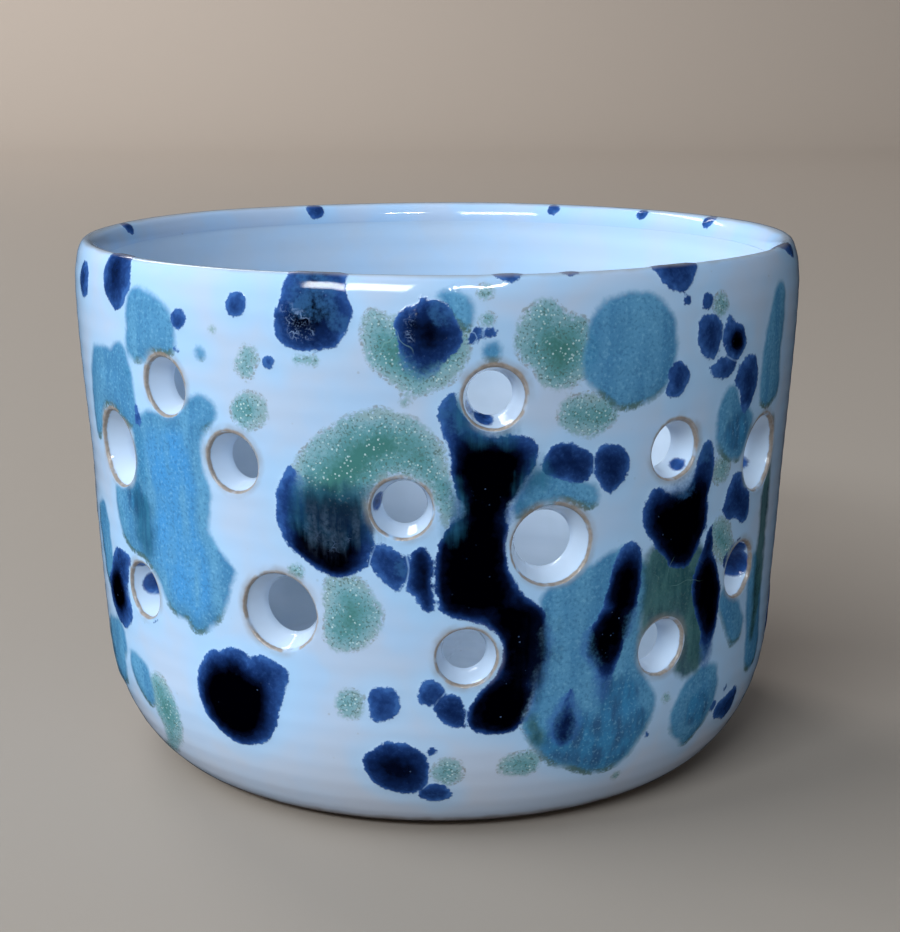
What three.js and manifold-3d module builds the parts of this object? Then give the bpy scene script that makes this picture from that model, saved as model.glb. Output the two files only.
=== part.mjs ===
// A wheel-thrown flower frog: an open glazed stoneware pot whose wall is pierced with tapered
// stem holes. Millimetres, +Z up, origin at the centre of the foot, front of the pot towards -Y.
// The pot is one fired body of clay under two coats of glaze, so it is three closed shells:
//   clay_body    the thrown wall, floor and foot ring, pierced by the stem holes
//   outer_glaze  the coat poured over the outside, which runs in through every stem hole
//   liner_glaze  the coat poured round the inside, from the lip down over the floor
import * as THREE from "three";
import { mergeVertices } from "three/addons/utils/BufferGeometryUtils.js";
import Module from "manifold-3d";

// Driving dimensions, in millimetres.
const HEIGHT = 79; // foot to crest of the lip
const FOOT_RADIUS = 42; // outer edge of the foot ring
const SHOULDER = { radius: 52.4, height: 18 }; // where the round bottom corner meets the wall
const WAIST = { radius: 53.5, height: 42 }; // middle of the wall
const FLARE = { radius: 55, height: 74 }; // widest place, just under the lip
const WALL = 4.2; // thickness of the glazed wall
const LIP = { radius: 53.4, innerDrop: 3.2 }; // crest of the lip, and how far it rounds down inside
const FLOOR_TOP = 6; // glazed floor inside, above the table
const FLOOR_CORNER = 11; // radius of the turn from the floor up into the wall
const FOOT_RING = { width: 6.5, recess: 1 }; // flat ring that the pot stands on
const GLAZE = 0.5; // thickness of each coat
const GAP = 0.3; // clearance kept between neighbouring solids
const BARE_FOOT = 1.5; // height of unglazed clay above the table
const LATHE_SIDES = 40;
const HOLE_SIDES = 12;
const CREST_SPLIT = 0.25; // half the gap between the two coats at the crest
const CREST_LEVEL = 0.1; // the coats end within this height of the crest

// Stem holes are pressed from the outside with a tapered cutter, so each narrows inwards.
const LARGE = { mouth: 5.4, throat: 3.9 }; // radii of the glazed hole
const MEDIUM = { mouth: 4.0, throat: 2.9 };

// Azimuth in degrees from the front (-Y) towards +X, height of the centre above the table.
const STEM_HOLES = [
  // round the front
  [-57, 51.5, LARGE],
  [-52, 31.5, MEDIUM],
  [-42, 62.5, MEDIUM],
  [-30, 53.5, MEDIUM],
  [-23.5, 33.5, LARGE],
  [-5, 49, MEDIUM],
  [4, 28.5, MEDIUM],
  [7.5, 63.5, MEDIUM],
  [16, 43.5, LARGE],
  [35.5, 54.5, MEDIUM],
  [35.5, 26.5, MEDIUM],
  [54, 34, MEDIUM],
  [58, 50.5, LARGE],
  // round the back
  [84, 37.5, LARGE],
  [88, 60, MEDIUM],
  [103, 26.5, MEDIUM],
  [111, 50, MEDIUM],
  [139, 37, LARGE],
  [134, 61, MEDIUM],
  [144, 22, MEDIUM],
  [157, 47.5, MEDIUM],
  [180, 57, LARGE],
  [184, 33.5, MEDIUM],
  [203, 44.5, MEDIUM],
  [212, 26.5, LARGE],
  [228, 57.5, MEDIUM],
  [250, 41, MEDIUM],
  [270, 59.5, LARGE],
  [272, 30, MEDIUM],
];

const wasm = await Module();
wasm.setup();

// ---- Outlines: lists of Vector2 (radius, height) ----------------------------------------

// Outside of the glazed pot, from the foot up to just short of the crest of the lip.
function outerOutline() {
  const corner = new THREE.CubicBezierCurve(
    new THREE.Vector2(FOOT_RADIUS, 0),
    new THREE.Vector2(FOOT_RADIUS + 4.8, 1.8),
    new THREE.Vector2(SHOULDER.radius - 0.9, SHOULDER.height * 0.47),
    new THREE.Vector2(SHOULDER.radius, SHOULDER.height),
  );
  const wall = new THREE.SplineCurve([
    new THREE.Vector2(SHOULDER.radius, SHOULDER.height),
    new THREE.Vector2(WAIST.radius, WAIST.height),
    new THREE.Vector2(FLARE.radius, FLARE.height),
  ]);
  const reach = FLARE.radius - LIP.radius;
  const lip = new THREE.EllipseCurve(
    LIP.radius,
    FLARE.height,
    reach,
    HEIGHT - FLARE.height,
    0,
    Math.acos(CREST_SPLIT / reach),
  );
  return [
    ...corner.getPoints(4),
    ...wall.getPoints(2).slice(1),
    ...lip.getPoints(3).slice(1),
  ];
}

// Inside of the glazed pot, from just past the crest of the lip down to the centre of the floor.
function innerOutline() {
  const wallTop = new THREE.Vector2(FLARE.radius - WALL, HEIGHT - LIP.innerDrop);
  const wallFoot = new THREE.Vector2(SHOULDER.radius - WALL, FLOOR_TOP + FLOOR_CORNER);
  const reach = LIP.radius - wallTop.x;
  const lip = new THREE.EllipseCurve(
    LIP.radius,
    wallTop.y,
    reach,
    LIP.innerDrop,
    Math.acos(-CREST_SPLIT / reach),
    Math.PI,
  );
  const wall = new THREE.SplineCurve([
    wallTop,
    new THREE.Vector2(WAIST.radius - WALL, WAIST.height),
    wallFoot,
  ]);
  const corner = new THREE.EllipseCurve(
    wallFoot.x - FLOOR_CORNER,
    wallFoot.y,
    FLOOR_CORNER,
    FLOOR_CORNER,
    0,
    -Math.PI / 2,
    true,
  );
  return [
    ...lip.getPoints(3),
    ...wall.getPoints(2).slice(1),
    ...corner.getPoints(3).slice(1),
    new THREE.Vector2(0, FLOOR_TOP),
  ];
}

// Moves an outline by a distance into the material, which lies to the left of its direction.
// The two outlines run level towards the axis where they meet at the crest.
function inset(outline, distance) {
  return outline.map((point, i) => {
    const before = outline[Math.max(i - 1, 0)];
    const after = outline[Math.min(i + 1, outline.length - 1)];
    const atCrest = point.y > HEIGHT - CREST_LEVEL;
    const along = atCrest ? new THREE.Vector2(-1, 0) : after.clone().sub(before).normalize();
    return new THREE.Vector2(
      Math.max(point.x - along.y * distance, 0),
      point.y + along.x * distance,
    );
  });
}

// ---- Solids -----------------------------------------------------------------------------

// A closed three.js geometry as a manifold-3d solid.
function solidOf(geometry) {
  const bare = geometry.clone();
  for (const name of ["normal", "uv"]) bare.deleteAttribute(name);
  const merged = mergeVertices(bare, 1e-4);
  return new wasm.Manifold(
    new wasm.Mesh({
      numProp: 3,
      vertProperties: merged.attributes.position.array,
      triVerts: new Uint32Array(merged.index.array),
    }),
  );
}

// A manifold-3d solid as a three.js geometry.
function geometryOf(solid) {
  const mesh = solid.getMesh();
  const geometry = new THREE.BufferGeometry();
  geometry.setAttribute("position", new THREE.BufferAttribute(mesh.vertProperties, 3));
  geometry.setIndex(new THREE.BufferAttribute(mesh.triVerts, 1));
  geometry.computeVertexNormals();
  return geometry;
}

// Turns a closed outline about +Z.
function turned(outline) {
  const geometry = new THREE.LatheGeometry(outline, LATHE_SIDES);
  geometry.rotateX(Math.PI / 2);
  return solidOf(geometry);
}

// Radius of the outside of the pot at a height.
function outsideRadius(height) {
  const outline = outerOutline();
  const above = outline.findIndex((p) => p.y >= height);
  const [low, high] = [outline[above - 1], outline[above]];
  return low.x + ((high.x - low.x) * (height - low.y)) / (high.y - low.y);
}

// A tapered plug along a stem hole: its radius is the glazed hole's, grown by `extra`,
// and it reaches `outward` and `inward` past the two faces of the wall.
function plug([azimuth, height, size], extra, outward, inward) {
  const taper = (size.mouth - size.throat) / WALL;
  const length = WALL + outward + inward;
  const outerEnd = size.mouth + extra + taper * outward;
  const innerEnd = size.throat + extra - taper * inward;
  const geometry = new THREE.CylinderGeometry(innerEnd, outerEnd, length, HOLE_SIDES);
  geometry.translate(0, (inward - outward) / 2, 0);
  geometry.translate(0, WALL / 2 - outsideRadius(height), height);
  geometry.rotateZ(THREE.MathUtils.degToRad(azimuth));
  return solidOf(geometry);
}

const cutAll = (solid, cutters) => cutters.reduce((rest, cutter) => rest.subtract(cutter), solid);
const joinAll = (solid, pieces) => pieces.reduce((whole, piece) => whole.add(piece), solid);

// ---- Parts ------------------------------------------------------------------------------

const outside = outerOutline();
const inside = innerOutline();
const through = STEM_HOLES.map((hole) => plug(hole, 0, 4, 1.2));
const clearance = STEM_HOLES.map((hole) => plug(hole, GLAZE + GAP, 4, 1.2));

function clayBody() {
  const skin = GLAZE + GAP;
  const ringInner = FOOT_RADIUS - FOOT_RING.width;
  const up = inset(outside, skin).filter((p) => p.y > BARE_FOOT / 2);
  const down = inset(inside, skin);
  const outline = [
    new THREE.Vector2(0, FOOT_RING.recess),
    new THREE.Vector2(ringInner - 1, FOOT_RING.recess),
    new THREE.Vector2(ringInner, 0),
    new THREE.Vector2(FOOT_RADIUS - skin, 0),
    ...up,
    ...down,
  ];
  return cutAll(turned(outline), clearance);
}

function outerGlaze() {
  const coated = outside.filter((p) => p.y >= BARE_FOOT);
  const back = inset(outside, GLAZE).filter((_, i) => coated.includes(outside[i]));
  const coat = turned([...coated, ...back.reverse(), coated[0]]);
  const sleeves = STEM_HOLES.map((hole) => plug(hole, GLAZE, -GLAZE / 2, 0));
  return cutAll(joinAll(coat, sleeves), through);
}

function linerGlaze() {
  const coat = turned([...inside, ...inset(inside, GLAZE).reverse(), inside[0]]);
  return cutAll(coat, clearance);
}

function part(name, solid, colour, roughness) {
  const material = new THREE.MeshStandardMaterial({ color: colour, roughness, metalness: 0 });
  const mesh = new THREE.Mesh(geometryOf(solid), material);
  mesh.name = name;
  return mesh;
}

const flowerFrog = new THREE.Group();
flowerFrog.add(
  part("clay_body", clayBody(), 0xb08a63, 0.85),
  part("outer_glaze", outerGlaze(), 0xd3dbea, 0.12),
  part("liner_glaze", linerGlaze(), 0xdde3ee, 0.12),
);

export default flowerFrog;
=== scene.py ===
# A wheel-thrown flower frog: a glazed stoneware pot pierced with tapered stem holes, with drops of
# cobalt, turquoise and copper-green glaze that ran down its outside in the kiln.
# The pot is a surface of revolution. Its skins are laid out flat as (azimuth, distance along the
# profile), filled with triangles round the holes, and rolled up again. How far each point lies
# inside a drop of coloured glaze is kept on the mesh in millimetres, for the relief and the paint.
import math
import random

import bpy
import numpy as np
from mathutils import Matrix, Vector, geometry, noise


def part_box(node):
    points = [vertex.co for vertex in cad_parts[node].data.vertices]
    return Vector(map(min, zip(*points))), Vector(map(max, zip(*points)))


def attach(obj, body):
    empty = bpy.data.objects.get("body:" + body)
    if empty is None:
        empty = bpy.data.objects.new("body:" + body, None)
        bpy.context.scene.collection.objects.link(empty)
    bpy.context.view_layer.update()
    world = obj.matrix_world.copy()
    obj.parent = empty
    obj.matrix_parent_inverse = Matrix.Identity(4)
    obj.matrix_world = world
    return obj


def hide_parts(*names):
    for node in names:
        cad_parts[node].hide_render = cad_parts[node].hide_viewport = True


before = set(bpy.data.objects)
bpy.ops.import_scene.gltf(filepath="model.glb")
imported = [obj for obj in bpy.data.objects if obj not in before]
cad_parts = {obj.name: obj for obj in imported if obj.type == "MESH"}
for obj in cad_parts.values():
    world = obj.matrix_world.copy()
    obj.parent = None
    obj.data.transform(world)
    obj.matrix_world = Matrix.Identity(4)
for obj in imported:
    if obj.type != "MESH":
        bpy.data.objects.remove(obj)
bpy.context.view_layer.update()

MM = 0.001

# ---------------------------------------------------------------- sizes of the pot, in millimetres

HEIGHT = round(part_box("outer_glaze")[1][2] / MM, 1)
WIDEST = round(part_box("outer_glaze")[1][0] / MM, 1)
FOOT_RADIUS = 42.0
SHOULDER = (52.4, 18.0)
WAIST = (53.5, 42.0)
FLARE_HEIGHT = 72.0
INNER_WAIST = (49.3, 42.0)
INNER_SHOULDER = (48.2, 17.0)
INNER_CORNER = 11.0
FLOOR_TOP = 6.0
COAT = 0.5
BARE_FOOT = 1.3
FOOT_RING = 6.5
FOOT_RECESS = 1.0
CREST = (53.3, HEIGHT)
PAINT_RADIUS = 53.5

# Each stem hole is (azimuth in degrees from the front towards +X, height, mouth and throat radius).
LARGE = (5.4, 3.9)
MEDIUM = (4.0, 2.9)
STEM_HOLES = [
    (-57, 51.5, LARGE), (-52, 31.5, MEDIUM), (-42, 62.5, MEDIUM), (-30, 53.5, MEDIUM),
    (-23.5, 33.5, LARGE), (-5, 49, MEDIUM), (4, 28.5, MEDIUM), (7.5, 63.5, MEDIUM),
    (16, 43.5, LARGE), (35.5, 54.5, MEDIUM), (35.5, 26.5, MEDIUM), (54, 34, MEDIUM),
    (58, 50.5, LARGE), (84, 37.5, LARGE), (88, 60, MEDIUM), (103, 26.5, MEDIUM),
    (111, 50, MEDIUM), (139, 37, LARGE), (134, 61, MEDIUM), (144, 22, MEDIUM),
    (157, 47.5, MEDIUM), (180, 57, LARGE), (184, 33.5, MEDIUM), (203, 44.5, MEDIUM),
    (212, 26.5, LARGE), (228, 57.5, MEDIUM), (250, 41, MEDIUM), (270, 59.5, LARGE),
    (272, 30, MEDIUM),
]
SEAM_AZIMUTH = 168.0
HOLE_SIDES = 40
MOUTH_ROUND = 0.4
FINE_COLUMNS = 416
COARSE_COLUMNS = 104

# ------------------------------------------------------------------- drops of glaze on the outside

# A drop is either an outline of points (azimuth in degrees, height), which a smooth curve joins,
# or a chain of knots (azimuth, height, radius) that the glaze ran through.
# Heights above the rim carry on over the lip, towards the inside.
COBALT = [
    [(-20.6, 79), (-21.2, 75.5), (-22.2, 72.7), (-21.3, 70), (-19.7, 69), (-17.5, 68.9), (-15, 69.2),
     (-13.5, 69.5), (-12.1, 71.4), (-11.1, 73.4), (-11.3, 75.2), (-12.1, 76.5), (-12.1, 79),
     (-13, 82.3), (-16.5, 83.4), (-20, 82.2)],
    [(-2.2, 76.2), (-3, 75.2), (-4.4, 74.7), (-5.9, 73), (-5.4, 71), (-4.9, 68.6), (-3.3, 66.6),
     (-1.4, 66.3), (0.6, 67.6), (1.6, 68.9), (3, 70), (3.2, 71.6), (2.3, 73.2), (1.6, 74.6), (0.1, 75.5),
     (-1.2, 75.6)],
    [(30.8, 79), (31.4, 77.6), (32.7, 76), (34.8, 75.2), (37.1, 76), (38.7, 77.7), (39.3, 79.2),
     (38, 82), (34.5, 82.8), (31.5, 82)],
    [(38.2, 69.2), (38.6, 71.3), (40.5, 72), (42.5, 71.5), (43.6, 70), (43.2, 67.5), (41.5, 65.7),
     (39.8, 66.6), (38.4, 68)],
    [(45.2, 71.4), (46.2, 70.2), (48.2, 69.6), (49.6, 67.6), (48.8, 65.8), (46.8, 64.9), (44.8, 66),
     (43.7, 68), (44.1, 70.2)],
    [(41.2, 64.3), (43, 65.5), (45.4, 65.5), (47.5, 64.7), (46.6, 63.5), (44.5, 62.8), (42.5, 63.3)],
    [(35, 66.3), (37, 65.3), (37.3, 63.7), (36, 61.8), (34.3, 61.3), (33, 62), (33.2, 63.6), (33.1, 64.6),
     (33.9, 65.9)],
    [(47, 62.1), (48, 63.4), (49.2, 64.8), (51.5, 65.3), (53.3, 64), (53.9, 61), (52.6, 58.3), (50.5, 57),
     (49.5, 58.5), (48.8, 60.5)],
    [(42.5, 54.7), (43.9, 53), (43.9, 50.5), (43.5, 47), (43.3, 43), (42.2, 40.5), (40.5, 38),
     (38.5, 37.2), (36, 38), (34, 40), (32, 42), (30.6, 44), (30.2, 46.5), (31, 48.7), (32.5, 49.5),
     (34.5, 48.6), (36.2, 49), (38, 49), (39.8, 51), (40.3, 53), (41.2, 54.5)],
    [(44.6, 42.7), (45.3, 40.5), (45.6, 38), (47, 36), (48.3, 33), (48.4, 30), (47.7, 26), (46.6, 22.5),
     (45.3, 21.5), (44.5, 24), (43.3, 28), (41.8, 31), (40.9, 33.5), (41.3, 36), (42.4, 38), (43.6, 40.5)],
    [(48.3, 47.2), (49.5, 48.6), (51.5, 48.7), (53, 48.4), (54.5, 46.5), (55.6, 43.2), (54.8, 41),
     (52.8, 41), (51, 42.1), (49, 42.3), (47, 43.8), (47.6, 45)],
    [(28.5, 42.6), (30.2, 41.6), (30.6, 39), (30.3, 35), (29.6, 32), (28.6, 29.5), (27.6, 27), (26.4, 24),
     (24.9, 21), (24.2, 22), (23.4, 25), (21.8, 27.5), (21.6, 30), (23, 32), (24.3, 34.5), (25.3, 38),
     (26.4, 41)],
    [(19.5, 23.2), (20.6, 20.5), (21, 18), (20.3, 15.5), (18.7, 14.5), (17.2, 15.5), (16.3, 17.8),
     (17.3, 19.8), (18.3, 21.5)],
    [(1.9, 64.2), (3.5, 63.6), (4.4, 61.6), (5, 60), (6.5, 58.8), (8.5, 58.3), (10.5, 58.4), (12.5, 58),
     (13.6, 56.5), (13.2, 54), (11.8, 51), (10.2, 49.3), (9.6, 47), (9.9, 44), (9.7, 41), (10.6, 39),
     (11.6, 37.5), (13.3, 36), (14.9, 35), (15.6, 32.5), (16, 29), (15.1, 26), (14.4, 23), (13.3, 20),
     (12, 18.3), (9.3, 17.3), (6.1, 17.5), (4.4, 18.4), (4.2, 20.3), (4.7, 22), (5.8, 23.5), (7.4, 25),
     (8.8, 27), (9.2, 29.5), (8.5, 31.3), (7.2, 32.5), (5.3, 33.4), (3, 33.8), (1.1, 34.3), (0, 35.1),
     (-0.2, 37), (-0.4, 40.5), (-0.2, 43.5), (0.8, 45.7), (1.7, 47), (2.7, 48.6), (2.4, 51), (1.8, 53.5),
     (1.4, 56.5), (0.4, 59), (0, 61.5), (0.7, 63.4)],
    [(-8.5, 43.7), (-7, 43.8), (-5.4, 43), (-4.3, 41.5), (-4.5, 39), (-5.8, 37.7), (-7.5, 38.8),
     (-8.8, 40.2), (-9.3, 42)],
    [(-3.9, 42.8), (-3, 43.6), (-1.5, 43.5), (-0.9, 42), (-0.9, 39), (-0.7, 36.5), (-0.8, 34.8), (-2, 35.1),
     (-3.3, 36.8), (-4.3, 38.2), (-4.2, 40.5)],
    [(-3.1, 23.5), (-2.5, 25), (-1, 25.5), (0.4, 24.8), (0.8, 23.5), (-0.3, 22.1), (-1.7, 21.7),
     (-2.8, 22.3)],
    [(-0.9, 21.5), (0.3, 22.9), (2, 23.3), (3.5, 22.4), (3.9, 20.6), (3.8, 18.7), (2.8, 18.5), (1.2, 19),
     (0, 20)],
    [(14.4, 55), (15.8, 57), (17.8, 57.1), (20.2, 56), (21.5, 54.8), (21.4, 52.5), (20, 51.3), (17.8, 51.8),
     (15.5, 52.6), (14.2, 53.4)],
    [(21.8, 55), (23, 56.2), (25, 56.2), (26.8, 55), (27.3, 52.8), (26.5, 50.8), (24.7, 49.7), (23, 50.8),
     (21.9, 52.8)],
    [(-20.4, 53.9), (-19.4, 52.6), (-18.8, 50), (-17, 48), (-14, 47.4), (-11, 47.4), (-9.8, 48.4),
     (-9.2, 47), (-9.1, 45.6), (-9, 43.8), (-9.6, 41.8), (-11, 40.3), (-13, 39.3), (-15, 39.2),
     (-17.5, 40.2), (-20, 41.7), (-21.8, 43.4), (-22.9, 45.5), (-23.2, 48.3), (-22.6, 51), (-21.4, 53.1)],
    [(-39.5, 18.5), (-39.7, 20.6), (-39, 23), (-37.5, 25), (-35.6, 26.4), (-34.4, 26.2), (-33, 26.9),
     (-31, 27.1), (-29.7, 26.6), (-29.2, 25.2), (-28.6, 26.5), (-26.5, 27), (-24.5, 26.5), (-22.6, 25.4),
     (-22.7, 23.5), (-23.5, 21.3), (-24.3, 19), (-25, 17), (-26.5, 14.5), (-28.5, 13.3), (-31, 12.6),
     (-33.6, 12.6), (-36, 13.8), (-38, 15.5)],
    [(-10.3, 22.5), (-9.5, 24), (-7.8, 24.3), (-6, 23.6), (-5.5, 22), (-6, 20.2), (-7.5, 19.4), (-9, 19),
     (-10.1, 19.8), (-10, 21)],
    [(-11.5, 11.8), (-11.2, 13.8), (-9.5, 15.3), (-7.2, 16.2), (-4.5, 16), (-2.2, 14.6), (-1.3, 12.5),
     (-1.8, 10), (-3.3, 8.3), (-6, 7.8), (-8.8, 8.6), (-10.7, 10.2)],
    [(-3.5, 7.4), (-2.2, 9.1), (-0.8, 9.8), (1, 9.5), (2.1, 8), (1.6, 6.9), (-0.2, 6.3), (-2, 6.8)],
    [(-56.5, 79.5), (-57.6, 76.5), (-57.2, 74), (-55, 72), (-52.5, 71.3), (-50.3, 72.5), (-49.1, 75),
     (-49.6, 77.5), (-50.6, 79.6), (-52, 82.2), (-55, 82.2)],
    [(-61, 35.8), (-58.5, 36), (-55.7, 35.4), (-56.7, 33), (-57.5, 30.5), (-57, 28.5), (-56.4, 26.8),
     (-58, 24.7), (-60.5, 23.6), (-63.5, 24), (-67, 26), (-67.2, 29), (-65, 31.5), (-63.4, 34)],
    [(-28.1, 74.1, 1.55), (-27.8, 74.3, 1.5)], [(-23.1, 67.2, 0.85)],
    [(5.2, 71.6, 0.8), (4.4, 70.4, 0.5)], [(6.4, 71.4, 0.55), (7.4, 71.6, 0.5)],
    [(9.4, 80.0, 2.3)], [(18.1, 79.9, 1.7)], [(36.1, 74.0, 0.65)], [(40.1, 73.6, 1.15)],
    [(49.5, 36.2, 1.0), (52.8, 37.8, 1.0)], [(-1.1, 15.0, 0.7)], [(-66.8, 74.0, 2.6)],
    [(-38.1, 71.6, 1.4)], [(-38.6, 67.5, 0.6)], [(-54.9, 58.8, 0.5)],
    [(-49.2, 58.5, 0.5), (-49.0, 56.6, 0.8)], [(-52.0, 28.0, 1.0), (-49.6, 28.4, 1.1)],
    [(34.0, 13.6, 0.55)], [(52.5, 12.8, 1.6), (56.0, 12.5, 2.6)], [(50.0, 14.0, 0.8)],
    [(53.0, 16.0, 0.6)], [(66.0, 80.2, 1.8), (70.0, 78.4, 1.8)], [(118.0, 80.5, 1.5)],
    [(136.0, 80.6, 1.2)], [(156.0, 80.6, 1.3)], [(205.5, 80.8, 1.7)], [(255.0, 80.4, 1.5)],
]
TURQUOISE = [
    [(-50.3, 69.6), (-49.8, 72.5), (-48.5, 74.5), (-46, 74.9), (-43, 74.2), (-40.3, 73), (-39, 71),
     (-38.8, 68.8), (-39.6, 67), (-42, 66.6), (-44.5, 66), (-46.5, 65), (-49, 64.8), (-50.5, 66.5)],
    [(-66.8, 54), (-66.3, 58), (-65, 62), (-63, 65), (-60, 65.7), (-56, 65.6), (-53.5, 66.8),
     (-51.3, 66.3), (-49.8, 64), (-49.6, 60), (-49, 57), (-50.5, 55), (-53.5, 56), (-56.5, 57.3),
     (-60, 56.8), (-62, 54.5), (-64, 52), (-66, 51.5)],
    [(-36.3, 61.6), (-34, 61.8), (-32.3, 60.5), (-32.6, 58.5), (-34.3, 57), (-35.5, 54.5),
     (-35.3, 51.5), (-34.2, 49), (-34.8, 46), (-35.3, 43.5), (-34.2, 41.8), (-32.5, 40), (-30.6, 38.2),
     (-31.5, 36.3), (-32.2, 33.8), (-33.5, 31.3), (-35.5, 29.8), (-37.5, 28.2), (-39.5, 28.3),
     (-41, 29.5), (-43.5, 29.8), (-45.5, 31.5), (-47.2, 34), (-49.5, 35.8), (-51.5, 36.7),
     (-54.5, 36.8), (-57.5, 38), (-58.8, 40.3), (-59.6, 43), (-59.2, 45.3), (-56, 46.6), (-53, 46.8),
     (-51.5, 49), (-51.3, 53), (-50, 56), (-48, 57.6), (-46, 58.3), (-43.5, 58.6), (-40, 59.2),
     (-38, 60.3)],
    [(-59, 20.5), (-55.5, 20.5), (-52.8, 19), (-52, 16), (-53, 13.5), (-55.5, 13), (-58, 15),
     (-59.8, 17.6)],
    [(20, 70), (20.8, 73), (23, 75), (26, 75.6), (29.5, 75.5), (32.3, 74), (34, 71.5), (34.5, 68.5),
     (34, 65.5), (32.6, 63), (30, 61.5), (27.5, 60.9), (25, 61), (22.5, 62.8), (20.5, 64.5), (19.5, 67)],
    [(10.5, 49.5), (12, 51.5), (14, 53.5), (17, 52.6), (20, 51.6), (22.3, 50.8), (22.8, 49.2),
     (21.5, 47.8), (19.5, 48.6), (16.5, 49.4), (13, 48.3), (11, 47.4)],
    [(15, 37), (17, 38), (20, 39), (23, 40.5), (25.5, 41.5), (28.5, 42), (30.8, 39.6), (32.3, 38),
     (32.2, 34), (31.2, 31), (31, 28), (31.6, 24), (33.5, 21.5), (34.8, 19.5), (34.5, 16.5),
     (32.8, 13.5), (31.3, 11), (29.5, 9.6), (26.5, 9), (23, 9.6), (20, 10.7), (17, 12), (15, 13.8),
     (13.7, 15.8), (12.3, 18), (13.3, 20.5), (14, 23.5), (14.6, 27), (15, 31), (14.6, 34.5)],
    [(38.5, 14.5), (39, 17), (41, 19.5), (43.5, 21), (47, 21.5), (49.5, 20), (50, 16), (48.8, 13),
     (46.5, 10.2), (44.5, 9), (42, 10.5), (39.8, 12.2)],
    [(43.7, 57), (44.5, 60), (46, 61.5), (48, 61.2), (49.5, 59), (52, 58), (54, 56), (52.5, 53.5),
     (51, 51), (48.5, 50.8), (46, 52), (44.3, 54)],
    [(55, 62), (55.5, 67), (57, 71), (59, 73.8), (62, 74), (63, 70), (62.5, 64), (63.5, 59), (60, 57),
     (56, 57.6)],
    [(0, 76.2), (2, 77), (4, 76), (4.8, 73.8), (4, 72), (2, 73), (0.5, 75)],
    [(-64.0, 21.0, 3.0), (-68.0, 18.0, 5.0), (-73.0, 15.0, 4.0)], [(-34.2, 67.4, 0.9)],
    [(-68.0, 38.0, 3.5), (-66.5, 31.0, 3.0)], [(59.3, 33.0, 2.2), (61.5, 27.0, 3.0), (63.0, 19.5, 3.4)],
    [(50.5, 30.0, 2.2), (54.5, 25.0, 2.6)], [(7.0, 69.2, 1.2)],
]
GREEN = [
    [(-8.3, 74.6), (-6, 73.6), (-4, 74.5), (-1, 75.5), (2.5, 74), (4.3, 71), (4, 68.2), (2.9, 66.5),
     (1.8, 65.2), (-0.8, 64), (-3, 63.6), (-5.3, 64.5), (-7.4, 65.8), (-9, 67.5), (-9.8, 69.5),
     (-10.2, 71.5), (-9.7, 73.6)],
    [(-20.3, 53.5), (-19.4, 55.5), (-18, 57), (-15.4, 59), (-13, 60.6), (-10.5, 61.5), (-8, 62.2),
     (-5.5, 61.8), (-3, 60.8), (-1, 59.2), (0.8, 57), (1.6, 54.5), (2.1, 52), (2.6, 49.5), (2.3, 47.3),
     (1, 46.2), (0.2, 47.5), (-0.5, 49.5), (-2, 51), (-5, 51), (-8.4, 50), (-9.4, 47), (-12, 45.5),
     (-16, 45.5), (-19.5, 47.5), (-20.9, 51)],
    [(-16.7, 31), (-16.5, 34), (-16.6, 37.5), (-15.5, 39.5), (-12, 39.8), (-10, 38.6), (-8.5, 36.8),
     (-7.6, 34.5), (-8.2, 32.3), (-9.3, 30.5), (-11, 29.3), (-13.5, 28.6), (-15.7, 29)],
    [(9.9, 70), (10.4, 72.5), (12, 74.8), (14, 75.7), (16, 75.2), (17.5, 73.6), (20, 72.6), (22, 69.5),
     (21.4, 66.6), (19, 64.6), (15.5, 63.8), (13.5, 64.8), (12.5, 66.5), (10.8, 67.8)],
    [(16, 61), (17, 62.6), (19.5, 63.4), (22.5, 63), (25, 61.5), (25.3, 59.8), (23.5, 58.2),
     (20.5, 57.3), (17.8, 58.3), (16.3, 59.5)],
    [(33, 41), (31.6, 38.5), (31.2, 35), (32, 31.8), (35, 31), (38.5, 31), (40.5, 28), (40.9, 25),
     (41.5, 22.4), (44, 21.6), (46, 23), (46, 28), (45, 33), (44, 38), (40, 40)],
    [(-52.5, 18.5), (-50, 19.5), (-47.5, 18.5), (-45.6, 15.6), (-45.3, 13), (-46.5, 10), (-48.5, 8),
     (-51, 6.5), (-54, 5), (-58, 3.6), (-58, 5.4), (-54.5, 7.6), (-52.6, 10.3), (-53.4, 12.8)],
    [(-20.5, 39.4, 1.3)], [(-26.3, 60.7, 2.7), (-26.8, 60.2, 2.5)],
    [(-26.0, 67.8, 1.5), (-26.8, 66.2, 1.6)], [(-19.0, 67.8, 0.7), (-16.5, 67.8, 0.7)],
    [(-13.0, 21.5, 2.3)], [(1.4, 11.7, 2.4)], [(10.8, 12.3, 1.9), (13.2, 12.4, 2.2)],
    [(6.3, 76.5, 1.2)], [(6.5, 73.2, 1.1)],
    [(43.0, 73.0, 1.7)], [(46.0, 50.0, 2.2)], [(47.0, 40.4, 2.8), (49.0, 38.0, 2.4)],
    [(13.8, 18.8, 1.8), (15.2, 16.4, 1.6)], [(-49.3, 53.5, 1.6), (-49.0, 48.5, 1.6)],
    [(-31.9, 70.8, 0.6)], [(37.2, 18.5, 0.9)], [(30.2, 7.5, 0.9)], [(-51, 62.8, 0.9)],
    [(-57.5, 41.8, 1.3)], [(-4.4, 62.8, 0.7)],
]
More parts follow.
